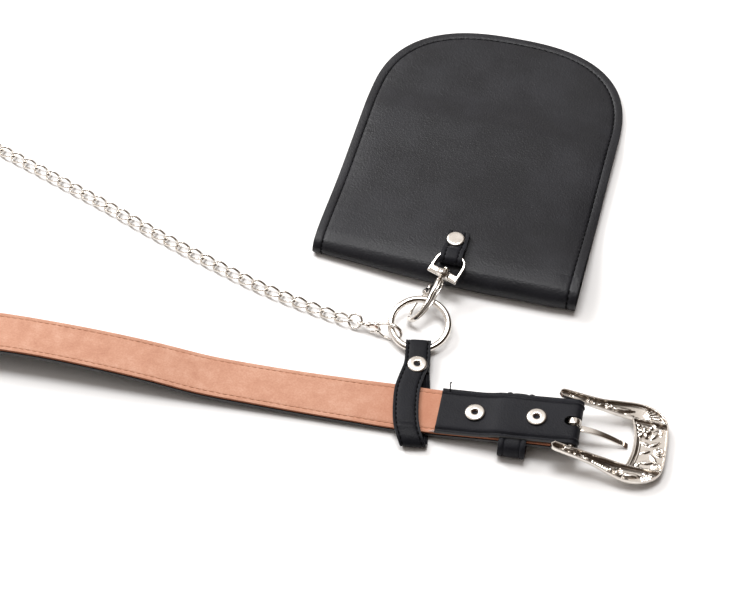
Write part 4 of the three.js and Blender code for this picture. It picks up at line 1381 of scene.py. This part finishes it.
# %% The parts of a hook
HOOK_BODY = [
    (4.3, -0.7, 3.4, 4), (5.5, -1.4, 4.2, 4.3), (8.5, -2.1, 4.8, 4.3), (11, -2.6, 4.2, 4.2),
    (13.2, -3.7, 2.6, 4.1), (16.5, -4.7, 2.4, 3.9), (21, -4.7, 2.2, 3.2), (25.3, -3.3, 2.1, 2.7),
    (27.9, -0.4, 2, 2.4), (28, 2.4, 1.9, 2.1), (26.9, 4.3, 1.7, 1.9),
]
HOOK_GATE = [
    (11.8, 3.3, 1.6, 1.2), (14.3, 5.1, 1.5, 1.3), (18, 6.6, 1.4, 1.4), (21.8, 6.4, 1.4, 1.4),
    (24.6, 4.9, 1.3, 1.3),
]
HOOK_HINGE = 11.8, 3.3, 1.5, 0.7  # x, y, the barrel's radius, half its length
CLASP_HINGE = 8.6, -1.8, 1.1, 0.45
HOOK_POST, HOOK_HEAD = (-2.6, 4.3, 1.2, 0.1), (-3.4, -2.6, 1.75, 0.25)  # low, high, radius, edge
CLASP_COLLAR, CLASP_POST = (2.6, 4.6, 1.5, 0.3), (1.75, 4, 0.65, 0.1)
CLASP_EYE_RADIUS, CLASP_EYE_WIRE = 1.75, 0.6
HOOK_THUMB = [(11.8, 3.3, 1.6, 1.2), (10, 4.2, 1.4, 1.2), (8, 4.8, 1.6, 1.6), (7, 5.1, 1.2, 1.4)]
CLASP_BODY = [
    (4.4, 0.2, 2.6, 2.2), (6, 0.6, 3.2, 2.2), (8, 1.1, 2.8, 2.2), (10, 2.5, 1.6, 1.9),
    (13.5, 3.5, 1.4, 1.7), (17.1, 3.2, 1.4, 1.6), (19.8, 1.6, 1.3, 1.5), (20.7, -0.3, 1.2, 1.4),
    (20.5, -1.9, 1.1, 1.3), (19.9, -3, 1, 1.1),
]
CLASP_GATE = [(8.6, -1.8, 1.2, 0.9), (10.5, -3.5, 1, 1), (13.5, -4.6, 0.9, 1), (17.8, -4.4, 0.8, 0.9)]
CLASP_THUMB = [(8.6, -1.8, 1.2, 0.9), (7, -2.7, 1, 0.9), (5.4, -3.2, 1.2, 1.2), (4.8, -3.5, 0.9, 1.1)]


def ears(x, y, barrel, half, ear, root, pin):
    """Two cheeks that hold the gate's pin, one on each side of its barrel."""
    bm = bmesh.new()
    side = math.copysign(1, y)
    low, high = sorted((-root * side, y + side * barrel * 0.2))
    for sign in (-1, 1):
        inner, outer = sorted((sign * (half + GAP), sign * (half + GAP + ear)))
        add(bm, disc(x, y, barrel + 0.1, inner, outer))
        middle = x - barrel * 0.35, (low + high) / 2, (inner + outer) / 2
        add(bm, block(middle, (barrel * 1.9, high - low, outer - inner), 0.15, 2))
    return add(bm, disc(x, y, pin, -half - GAP - ear - 0.12, half + GAP + ear + 0.12))


def gate(stations, thumb, x, y, barrel, half):
    bm = disc(x, y, barrel, -half, half)
    add(bm, rod(stations, 14))
    return add(bm, rod(thumb, 14))


# %% The hook's frames
HOOK_AT, HOOK_TURN, HOOK_PITCH, HOOK_LEAN = Vector((1.2, -5.7, 12.6)), -110, -16, 45
hook_axis = leaning(heading(HOOK_TURN), HOOK_PITCH)
eye_frame = frame_matrix(HOOK_AT, hook_axis, heading(HOOK_TURN - 90))
hook_frame = frame_matrix(HOOK_AT, hook_axis, leaning(heading(HOOK_TURN - 90), -HOOK_LEAN))

# %% [markdown]
# The eye is a flat D with a thick bar, and the bar has a boss that the swivel post goes through. Its
# inner and outer outlines have the same number of points, and a rounded section is drawn between them.

# %% The eye
EYE_WIDTH, EYE_FAR, EYE_BASE, EYE_WIRE, EYE_CORNER, EYE_THICK = 16, 12.2, 4.2, 1.3, 6.2, 1.9


def eye_outline(inset):
    """The D from its bar's middle round and back, always by the same number of points."""
    half, radius = EYE_WIDTH / 2 - inset, EYE_CORNER - inset
    front, back = EYE_BASE / 2 - (EYE_BASE if inset else 0), inset - EYE_FAR
    bar = [(front, half * share) for share in (0, 0.25, 0.5, 0.75, 0.92)]
    corner = [(front, half), (front - 1.2 * (1 if not inset else 0.6), half)]
    side = [(back + radius + 2 * k, half) for k in (1.5, 1, 0.5)]
    arc = [
        (back + radius - radius * math.sin(turn), half - radius + radius * math.cos(turn))
        for turn in (math.radians(15 * k) for k in range(7))
    ]
    end = [(back, (half - radius) * share) for share in (0.5, 0)]
    upper = [*bar, *corner, *side, *arc, *end]
    return [*upper, *((x, -y) for x, y in reversed(upper[1:-1]))]


def between_outlines(inner, outer, thick, sides=16, squareness=4):
    """A closed frame with a rounded box section between two outlines."""
    count = len(inner)

    def place(row, column):
        a, b = Vector((*inner[row % count], 0)), Vector((*outer[row % count], 0))
        c, s = ring_corner(column, sides, squareness)
        return (a + b) / 2 + (b - a) / 2 * c + Vector((0, 0, s * thick / 2))

    return closed(grid(count, sides, place))


eye = between_outlines(eye_outline(EYE_WIRE), eye_outline(0), EYE_THICK)
boss = turned_along_x([(-1.3, 0), (-1.3, 3.5), (-1.1, 3.8), (1.8, 3.8), (2.0, 3.5), (2.0, 0)], 64)
for corner in boss.verts:
    turn = math.atan2(corner.co.z, corner.co.y) % (math.pi / 4) - math.pi / 8
    facet = max(math.cos(math.pi / 8) / math.cos(turn), 0.935)
    corner.co = Vector((corner.co.x, corner.co.y * facet, corner.co.z * facet))
add(eye, boss)
nickel_piece("hook_eye", eye, eye_frame)

# %% [markdown]
# The hook's body starts with a round shoulder, a little below the boss, and turns on a post through it.
# Two grooves run down its back, and the gate turns on a pin through two cheeks.


# %% The hook
def back_grooves(x, across):
    return 0.5 * smooth(5, 6, x) * (1 - smooth(23, 27, x)) * bell(abs(across) - 0.47, 0.1)


hook = rod(HOOK_BODY, 48, 8, 3.2, back_grooves)
add(hook, post(*HOOK_POST))
add(hook, post(*HOOK_HEAD))
add(hook, ears(*HOOK_HINGE, ear=0.8, root=1.8, pin=0.55))
nickel_piece("hook_body", hook, hook_frame)
nickel_piece("hook_gate", gate(HOOK_GATE, HOOK_THUMB, *HOOK_HINGE), hook_frame, body="hook_lever")
print("the snap hook")

# %% [markdown]
# ## Chain
#
# A curb link is a ring that has been pressed oval and then twisted, so that the links lie flat in each
# other. One formula draws its wire, and every link is drawn by it at the next place on the route. The two
# end links are raised a little towards the jump rings.

# %% The chain's sizes
LINKS, PITCH, LINK_WIRE, LINK_HALF_WIDTH, LINK_TWIST, LINK_HEIGHT = 30, 7.6, 0.6, 2.55, -1.15, 1.9
LINK_HALF = (PITCH + 2 * LINK_WIRE + 0.5) / 2
JUMP_RADIUS, JUMP_LEAN, JUMP_HEIGHT = 3.4, 45, 3.7
REACH = LINK_HALF - LINK_WIRE - 2 * GAP - LINK_WIRE + JUMP_RADIUS
CHAIN_ROUTE = [
    (-34.55, -37.7), (-64.3, -32.2), (-86, -27.2), (-107.7, -20.5), (-129, -13.5), (-150.4, -5.8),
    (-171.7, 2.3), (-193.2, 10), (-215, 17.7), (-237.8, 25.5), (-270, 36.3),
]
chain_route = Route(through([(x, y, 0) for x, y in CHAIN_ROUTE]))


def link():
    """One twisted link of round wire, about its own middle."""
    steps, sides = 32, 10

    def centre(t):
        x, y = LINK_HALF * math.cos(t), LINK_HALF_WIDTH * math.sin(t)
        return Vector((x, y, LINK_TWIST * math.sin(2 * t)))

    def place(row, column):
        t = 2 * math.pi * (row % steps) / steps
        along = (centre(t + 0.02) - centre(t - 0.02)).normalized()
        out = (centre(t) - along * centre(t).dot(along)).normalized()
        c, s = ring_corner(column, sides)
        return centre(t) + LINK_WIRE * (out * c + along.cross(out) * s)

    return closed(grid(steps, sides, place))


def chain_place(distance, height):
    at, along = chain_route.at(distance), chain_route.along(distance, 0.5)
    return Matrix.Translation((at.x, at.y, height)) @ Matrix.Rotation(math.atan2(along.y, along.x), 4, "Z")


# %% The links
END_PITCH, END_ROLL = math.radians(7), math.radians(8)
for i in range(LINKS):
    end = {0: 1, LINKS - 1: -1}.get(i, 0)
    height = LINK_HEIGHT + abs(end) * LINK_HALF * math.sin(END_PITCH)
    frame_here = (
        chain_place(REACH + i * PITCH, height)
        @ Matrix.Rotation(end * END_PITCH, 4, "Y") @ Matrix.Rotation(end * END_ROLL, 4, "X")
    )
    name = f"chain_link_{i + 1:02d}"
    nickel_piece(name, link(), frame_here)
CHAIN_LENGTH = 2 * REACH + (LINKS - 1) * PITCH
print(LINKS, "links over", round(CHAIN_LENGTH), "mm")

# %% The jump rings
lean = Matrix.Rotation(math.radians(JUMP_LEAN), 4, "X")
half_turn = Matrix.Rotation(math.pi, 4, "Z")
near_end, far_end = (chain_place(distance, JUMP_HEIGHT) for distance in (0, CHAIN_LENGTH))
for name, place in (("chain_ring", near_end @ half_turn @ lean), ("chain_end_ring", far_end @ lean)):
    nickel_piece(name, hoop(JUMP_RADIUS, LINK_WIRE, 40, 12), place)

# %% [markdown]
# The small clasp is a lobster: the same kinds of parts as the hook, with an eye of its own that swivels
# in the collar. The far end of the chain keeps its plain clasp, which only needs the nickel finish.

# %% The clasp
CLASP_TURN, CLASP_PITCH, CLASP_LEAN, CLASP_EYE_LEAN = -7.8, 6, 70, -40
clasp_at = near_end @ Vector((-JUMP_RADIUS, 0, 0))
clasp_axis = leaning(heading(CLASP_TURN), CLASP_PITCH)
clasp_frame = frame_matrix(clasp_at, clasp_axis, leaning(heading(CLASP_TURN + 90), CLASP_LEAN))
clasp_eye_frame = frame_matrix(clasp_at, clasp_axis, leaning(heading(CLASP_TURN + 90), CLASP_EYE_LEAN))
clasp = rod(CLASP_BODY, 20, 8, 2.8)
add(clasp, post(*CLASP_COLLAR))
add(clasp, ears(*CLASP_HINGE, ear=0.6, root=1.8, pin=0.5))
nickel_piece("clasp_body", clasp, clasp_frame)
nickel_piece("clasp_gate", gate(CLASP_GATE, CLASP_THUMB, *CLASP_HINGE), clasp_frame, body="clasp_lever")
clasp_eye = add(hoop(CLASP_EYE_RADIUS, CLASP_EYE_WIRE, 36, 12), post(*CLASP_POST))
nickel_piece("clasp_eye", clasp_eye, clasp_eye_frame)
frame["nodes"]["chain_end_clasp"].data.materials.clear()
frame["nodes"]["chain_end_clasp"].data.materials.append(POLISHED)
print("the clasp is at", [round(v, 1) for v in clasp_at])

# %% [markdown]
# ## Buckle
#
# The frame was cast hollow, like most western buckles, and lies on its face, so its trays show: one along
# each arm and one in the end plate. A tray is a sheet that goes down a wall, across a floor and up the
# next wall, and a Solidify modifier gives it the even wall of a casting. The ornament of the front shows
# on the floors as a shallow relief. It is drawn by a few plain kinds of marks: beads, leaves, curls and
# ribs.

# %% The buckle's sizes
FACE, CAST_WALL = -2.6, 0.62
INNER, WINDOW, BULGE = 13.2, 27, 2.4
BOWS, BOW_TURN = (28.8, 22.8), 6.3
BUCKLE_PITCH = -16.5
BUCKLE_EDGE = [
    (-8.2, 13.4), (-9.5, 15), (-8.5, 16.8), (-3.4, 17.5), (3.8, 17.9), (11.8, 18.8), (19.8, 20.8),
    (27.8, 22.3), (34.8, 21.7), (40.3, 19), (43.4, 15.4), (44.7, 10), (45.1, 0), (44.7, -10),
]
edge_route = Route(through([(x, y, 0) for x, y in BUCKLE_EDGE]))
buckle_frame = frame_matrix(BAR_AT, leaning(heading(BUCKLE_TURN), BUCKLE_PITCH), heading(BUCKLE_TURN + 90))


def bowed(spot):
    """Bends the frame up towards its end plate, in several small steps."""
    for middle in BOWS:
        for step in (2.4, 0.8, -0.8, -2.4):
            pivot = Vector((middle + step, spot.y, FACE))
            if spot.x > pivot.x:
                turn = Matrix.Rotation(math.radians(-BOW_TURN / 4), 3, "Y")
                spot = pivot + turn @ (spot - pivot)
    return spot


# %% [markdown]
# Each mark is a function of the distance from its middle. The table gives its kind, place, size, turn and
# height, in millimetres and degrees.


# %% Marks of the ornament
def bead(u, v):
    return math.sqrt(max(1 - u * u - v * v, 0))


def leaf(u, v):
    body = max(1 - u * u - (v * 2.6 / (1.02 - u * u * 0.9)) ** 2, 0) if abs(u) < 1 else 0
    return math.sqrt(body) * (0.75 + 0.25 * min(abs(v) * 9, 1))


def curl(u, v):
    """A rolled ridge that winds once in to its middle."""
    distance, turn = math.hypot(u, v), math.atan2(v, u) / (2 * math.pi) + 0.5
    if distance > 1.05:
        return 0
    ridges = [(turn + k) * 0.42 for k in (0.35, 1.35)]
    return max(bell(distance - ridge, 0.13) for ridge in ridges) + 0.7 * bell(distance, 0.16)


def flower(u, v):
    distance, turn = math.hypot(u, v), math.atan2(v, u)
    petals = 0.5 + 0.5 * math.cos(5 * turn)
    reach = 0.55 + 0.45 * math.sqrt(petals)
    ring = math.sqrt(max(1 - (distance / reach) ** 4, 0))
    return ring * (0.35 + 0.65 * min(distance / 0.35, 1) * petals**0.5) + 0.9 * bell(distance, 0.16)


def fan(u, v):
    """Flutes that spread from one corner."""
    distance, turn = math.hypot(u + 1, v), math.atan2(v, u + 1)
    if distance > 2 or abs(turn) > 0.95:
        return 0
    return (0.5 + 0.5 * math.cos(turn * 22)) * smooth(0.25, 0.6, distance) * (1 - smooth(1.8, 2, distance))


def ribs(u, v):
    if abs(u) > 1 or abs(v) > 1:
        return 0
    return (0.5 + 0.5 * math.cos(u * math.pi * 7)) * (1 - v * v)


MARKS = [  # mark, x, y, half length, half width, turn, height
    (flower, 33.8, 7.6, 3.5, 3.5, 15, 1.3), (bead, 31.0, 11, 1.1, 1.1, 0, 1.1),
    (bead, 36.9, 11, 1.0, 1.0, 0, 0.8), (leaf, 39.0, 7.6, 3.4, 3.2, 65, 0.9),
    (leaf, 41.6, 10.4, 3.0, 2.6, 95, 0.7), (leaf, 34.8, 1.6, 3.0, 2.0, -15, 0.6),
    (leaf, 39.4, 2.2, 3.2, 2.4, 32, 0.8), (curl, 42, -1.4, 2.6, 2.6, 200, 0.55),
    (leaf, 35.6, -3.0, 2.7, 1.9, 25, 0.6), (leaf, 39.6, -5.8, 3.0, 2.2, -50, 0.6),
    (curl, 41.8, -10, 2.4, 2.4, 120, 0.5), (leaf, 36.8, -8.8, 3.8, 2.4, 14, 0.7),
    (bead, 32.8, -10.8, 0.9, 0.9, 0, 0.5), (curl, -3.4, 15, 1.1, 1.1, 30, 0.8),
    (bead, -0.6, 14.9, 0.8, 0.8, 0, 0.8), (leaf, 2.2, 15.3, 2.0, 1.5, 10, 0.8),
    (curl, 5.6, 15.7, 1.5, 1.5, 0, 0.8), (bead, 8.0, 15.6, 0.9, 0.9, 0, 0.8),
    (leaf, 11.4, 16, 2.6, 1.7, 12, 0.9), (curl, 15.2, 16.8, 1.9, 1.9, 90, 0.8),
    (leaf, 22.4, 17.4, 6.2, 2.6, 9, 1.1), (leaf, 25.6, 15.2, 5.6, 1.5, -4, 0.8),
    (leaf, 19.2, 15, 3.2, 1.2, 4, 0.6), (fan, 36.5, 17.4, 4.4, 4.0, 20, 0.45),
    (curl, -3.2, -15, 1.2, 1.2, 10, 0.8), (leaf, 0.2, -15, 1.9, 1.4, -20, 0.8),
    (bead, 2.9, -15.3, 1.0, 1.0, 0, 0.8), (curl, 5.9, -15.6, 1.5, 1.5, 180, 0.8),
    (leaf, 9.0, -15.9, 2.0, 1.5, -14, 0.8), (ribs, 15.2, -16.7, 4.4, 1.7, -12, 0.7),
    (bead, 20.6, -17.4, 1.0, 1.0, 0, 0.9), (curl, 23.8, -17.6, 2.5, 2.5, 250, 1.0),
    (leaf, 30.4, -17.8, 5.2, 3.2, 6, 1.2), (leaf, 27.4, -20.2, 2.6, 1.4, 10, 0.6),
    (fan, 37.6, -16.6, 3.2, 3.0, -20, 0.35),
]


def ornament(x, y):
    """Height of the relief at a place on the tray floors."""
    height = 0
    for mark, mark_x, mark_y, length, width, turn, rise in MARKS:
        du, dv = x - mark_x, y - mark_y
        if abs(du) > 2 * length or abs(dv) > 2 * max(length, width):
            continue
        c, s = circle(turn)
        height = max(height, rise * mark((du * c + dv * s) / length, (dv * c - du * s) / width))
    return height


# %% [markdown]
# The sheet's border is the top of its rim. From there it goes straight down and turns into the floor with
# a small radius. Rows and columns use the same steps, and where two walls meet the higher one wins. A
# floor has two heights, one beside each of its long walls, since the casting is domed. An attribute
# remembers where the plating is brown: painted shade on the walls, and tarnish on the floor and in the
# hollows round the ornament.

# %% A tray
RIM = 4.3
WALL_STEPS = [  # inset from the wall's middle, share of the way down
    (0, 0), (0, 0.2), (0, 0.4), (0.02, 0.6), (0.08, 0.8), (0.22, 0.93), (0.42, 0.985), (0.68, 1),
]
HOLLOW_REACH = 0.4


def hollow(relief, x, y):
    """How far a place lies under its surroundings, from 0 to 1."""
    reach = HOLLOW_REACH
    beside = relief(x + reach, y), relief(x - reach, y), relief(x, y + reach), relief(x, y - reach)
    return smooth(0.03, 0.22, sum(beside) / 4 - relief(x, y))


def tray(near_line, far_line, rows, columns, floors, relief=ornament, dull=0.0):
    """A tray between two lines, with its floor at two heights and a share of dullness on the floor."""
    def steps(count, length):
        wall = [(inset / length, down) for inset, down in WALL_STEPS]
        start, end = wall[-1][0], 1 - wall[-1][0]
        floor_steps = [(start + (end - start) * i / count, 1) for i in range(1, count)]
        return [*wall, *floor_steps, *((1 - share, down) for share, down in reversed(wall))]

    length = sum((near_line((i + 1) / 40) - near_line(i / 40)).length for i in range(40))
    row_steps = steps(rows, length)
    widths = [max((far_line(share) - near_line(share)).length, 2.4) for share, _ in row_steps]
    column_steps = [steps(columns, width) for width in widths]
    tarnish = {}

    def place(row, column):
        row_share, row_down = row_steps[row]
        share, column_down = column_steps[row][column]
        flat = near_line(row_share).lerp(far_line(row_share), share)
        down = min(row_down, column_down)
        low = floors[0] + (floors[1] - floors[0]) * share
        raised = relief(flat.x, flat.y) if down > 0.9 else 0
        # On the walls the brown is painted shade; on the floor it is tarnish, most of it in the hollows
        # round the ornament.
        wall_painted_shade = 0.9 * smooth(0.1, 0.4, down)
        floor_dullness = max(dull * (1 - smooth(0.05, 0.5, raised)), hollow(relief, flat.x, flat.y))
        height = FACE + RIM - (RIM - low) * down + smooth(0.9, 1, down) * raised
        spot = bowed(Vector((flat.x, flat.y, height)))
        tarnish[tuple(round(v, 3) for v in spot)] = wall_painted_shade if down < 0.95 else floor_dullness
        return spot

    bm = grid(len(row_steps) - 1, len(column_steps[0]) - 1, place)
    layer = bm.verts.layers.float.new("tarnish")
    for corner in bm.verts:
        corner[layer] = tarnish[tuple(round(v, 3) for v in corner.co)]
    bmesh.ops.recalc_face_normals(bm, faces=bm.faces)
    centre = bowed(flat_middle(near_line, far_line))
    middle = min(bm.faces, key=lambda face: (face.calc_center_median() - centre).length)
    if middle.normal.z < 0:
        bmesh.ops.reverse_faces(bm, faces=bm.faces)
    return bm


def flat_middle(near_line, far_line):
    spot = near_line(0.5).lerp(far_line(0.5), 0.5)
    return Vector((spot.x, spot.y, FACE + 1.5))


# %% The arms and the end plate
def outline_at(distance, inset):
    edge, along = edge_route.at(distance), edge_route.along(distance)
    return edge + Vector((along.y, -along.x, 0)) * inset


def where(test):
    """Distance along the outline at which a test first holds."""
    return next(mark for mark, spot in zip(edge_route.marks, edge_route.line) if test(spot))


MIDDLE_WALL = CAST_WALL / 2
ARM_START = where(lambda spot: spot.x < -9.3)
ARM_STOP = where(lambda spot: spot.x > 40 and spot.y < 14.2)
ARM_END_X = 43.4


def arm(side):
    inner = Vector((-7.9, INNER + MIDDLE_WALL, 0)), Vector((ARM_END_X, INNER + MIDDLE_WALL, 0))

    def mirrored(spot):
        return Vector((spot.x, side * spot.y, 0))

    def near_line(share):
        return mirrored(inner[0].lerp(inner[1], share))

    def far_line(share):
        return mirrored(outline_at(ARM_START + (ARM_STOP - ARM_START) * share, MIDDLE_WALL))

    return tray(near_line, far_line, 130, 16, floors=(1.9, 2.2), dull=0.22)


def plate_y(share):
    return (2 * share - 1) * (INNER - MIDDLE_WALL + 0.6)


def plate_near(share):
    y = plate_y(share)
    return Vector((WINDOW + BULGE * (1 - (y / INNER) ** 2) + MIDDLE_WALL, y, 0))


def plate_far(share):
    y = plate_y(share)
    spot = outline_at(where(lambda spot: spot.x > 40 and spot.y < abs(y)), MIDDLE_WALL)
    return Vector((spot.x, y, 0))


def plate_relief(x, y):
    """The ornament, and two lines that follow the window's end."""
    from_window = x - WINDOW - BULGE * (1 - (y / INNER) ** 2)
    lines = 0.55 * bell(from_window - 2.3, 0.35) + 0.3 * bell(from_window - 3.2, 0.25)
    return max(ornament(x, y), lines)


frame_bm = arm(1)
add(frame_bm, arm(-1))
add(frame_bm, tray(plate_near, plate_far, 70, 42, (1.9, 1.7), plate_relief, dull=0.12))
frame_piece = piece(
    "buckle_frame", frame_bm, [HOLLOW, CAST], body="buckle", nodes=["buckle_frame"],
    wall=CAST_WALL, edge=0.2, frame_at=buckle_frame,
)
frame_piece.modifiers["wall"].material_offset = 1
bar_bm = turned([(radius, z) for z, radius in disc_profile(-INNER - 1, INNER + 1, BAR_RADIUS, 0.1)],
                Matrix.Rotation(math.pi / 2, 4, "X"))
for side in (-1, 1):
    add(bar_bm, block((0, side * (INNER + 1), -0.4), (6, 1.9, 3.6), 0.4, 3))
piece("buckle_bar", bar_bm, [CAST], body="buckle", frame_at=buckle_frame)
print("the buckle's frame and bar")

# %% [markdown]
# ## Prong
#
# The prong is a strip of metal rolled round the bar and bowed towards its tip. It shows as a bright curl
# through the slot in the leather.

# %% The prong
PRONG_WIDTH, PRONG_WALL, PRONG_SIDE, PRONG_SHADE_FROM = 3.3, 1.4, 0.5, 25.4
CURL_REACH = BAR_RADIUS + GAP + PRONG_WALL / 2
PRONG_ARM = [  # along, up, share of the width and the wall at full size
    (2.4, -2.4, 1, 1), (5, -1.5, 0.95, 0.9), (9, -0.9, 0.9, 0.85), (14, -0.9, 0.86, 0.8),
    (19, -1.5, 0.82, 0.8), (23, -2.2, 0.8, 0.8), (25.4, -2.5, 0.8, 0.8), (27.6, -3, 0.8, 0.2),
]
curl_rows = [
    (CURL_REACH * c, CURL_REACH * s, PRONG_WALL, PRONG_WIDTH)
    for c, s in map(circle, range(15, 271, 15))
]
arm_rows = [(x, z, PRONG_WALL * wall, PRONG_WIDTH * width) for x, z, width, wall in PRONG_ARM]
prong = rod([*curl_rows, *arm_rows], 24, 4, 6, dome=0)
# Past the set point along the arm, the tip gets painted shade where it goes under the end plate.
for face in prong.faces:
    face.material_index = int(face.calc_center_median().x > PRONG_SHADE_FROM)
upright = Matrix.Translation((0, PRONG_SIDE, 0)) @ Matrix.Rotation(math.pi / 2, 4, "X")
piece("buckle_prong", prong, [CAST, PAINTED_SHADE_METAL], body="prong", nodes=["buckle_prong"],
      frame_at=buckle_frame @ upright)
print("the prong")

# %% [markdown]
# ## Floor and light
#
# The table is a white sheet, lit until it burns out, so only the soft shadows are left on it. They fall
# towards the front and to the right, which puts the main softbox behind and to the left. A second, wide
# one hangs high over the table, a little behind the pouch, and lights the tops of the folds.

# %% The floor
FLOOR_SIZE = 6
floor_mesh = bmesh.new()
bmesh.ops.create_grid(floor_mesh, x_segments=1, y_segments=1, size=FLOOR_SIZE)
floor = new_object("floor", mesh_of(floor_mesh, "floor"))
paper = Finish("white_paper", Roughness=0.9, Specular_IOR_Level=0.2)
paper.surface(Base_Color=paper.mix(paper.clouds(400), (0.90, 0.895, 0.90, 1), (0.91, 0.91, 0.91, 1)))
floor.data.materials.append(paper.material)
floor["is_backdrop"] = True


# %% Softboxes
def softbox(name, place, size, power):
    lamp = bpy.data.lights.new(name, "AREA")
    lamp.shape = "RECTANGLE"
    lamp.size, lamp.size_y = size
    lamp.energy = power
    made = new_object(name, lamp)
    made.location = place
    made.rotation_euler = Vector(place).to_track_quat("Z", "Y").to_euler()


softbox("main_softbox", (-1.35, 0.9, 1.45), (1.0, 0.9), 36)
softbox("overhead", (-0.15, 0.42, 2.1), (1.0, 0.8), 30)

# %% [markdown]
# Polished metal shows the whole room. One direction, half way up behind and to the left, is the middle of
# the bright part. A duller ring lies round it, then comes a white wall, and the far side of the room is
# unlit and warm. The nickel owes its dark lines to that side.

# %% The room
BRIGHT_SIDE = leaning(heading(CAMERA_TURN + 135), 45)
room = bpy.data.worlds.new("room")
room.use_nodes = True
bpy.context.scene.world = room
sky = Nodes(room.node_tree)
direction = sky.node("ShaderNodeTexCoord", output="Generated")
both = {0: direction, 1: BRIGHT_SIDE}
share = sky.node("ShaderNodeVectorMath", {"operation": "DOT_PRODUCT"}, both, "Value")
walls = sky.ramp(
    share, (0.0, (0.055, 0.038, 0.027)), (0.36, (0.080, 0.060, 0.046)), (0.45, (0.40, 0.36, 0.33)),
    (0.55, (0.88, 0.83, 0.79)), (0.77, (0.88, 0.83, 0.79)), (0.87, (0.62, 0.57, 0.53)),
    (0.95, (0.86, 0.81, 0.77)),
)
background = room.node_tree.nodes["Background"]
sky.feed(background.inputs["Color"], walls)
background.inputs["Strength"].default_value = 1.0
bpy.context.scene.view_settings.view_transform = "Standard"
print("two softboxes and a room")

# %% [markdown]
# ## Size
#
# Leather may bulge a little past the plain solids. Both boxes are put side by side, and the script prints
# how much the whole object grew.

# %% Both boxes
VISUAL_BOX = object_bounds()
sizes = {
    "cad": [[float(v) for v in corner] for corner in CAD_BOX[:2]],
    "visual": [[float(v) for v in corner] for corner in VISUAL_BOX[:2]],
}
print("the whole object grew by", [
    [round((v - c) / MM, 2) for v, c in zip(*corners)] for corners in zip(sizes["visual"], sizes["cad"])
], "mm")
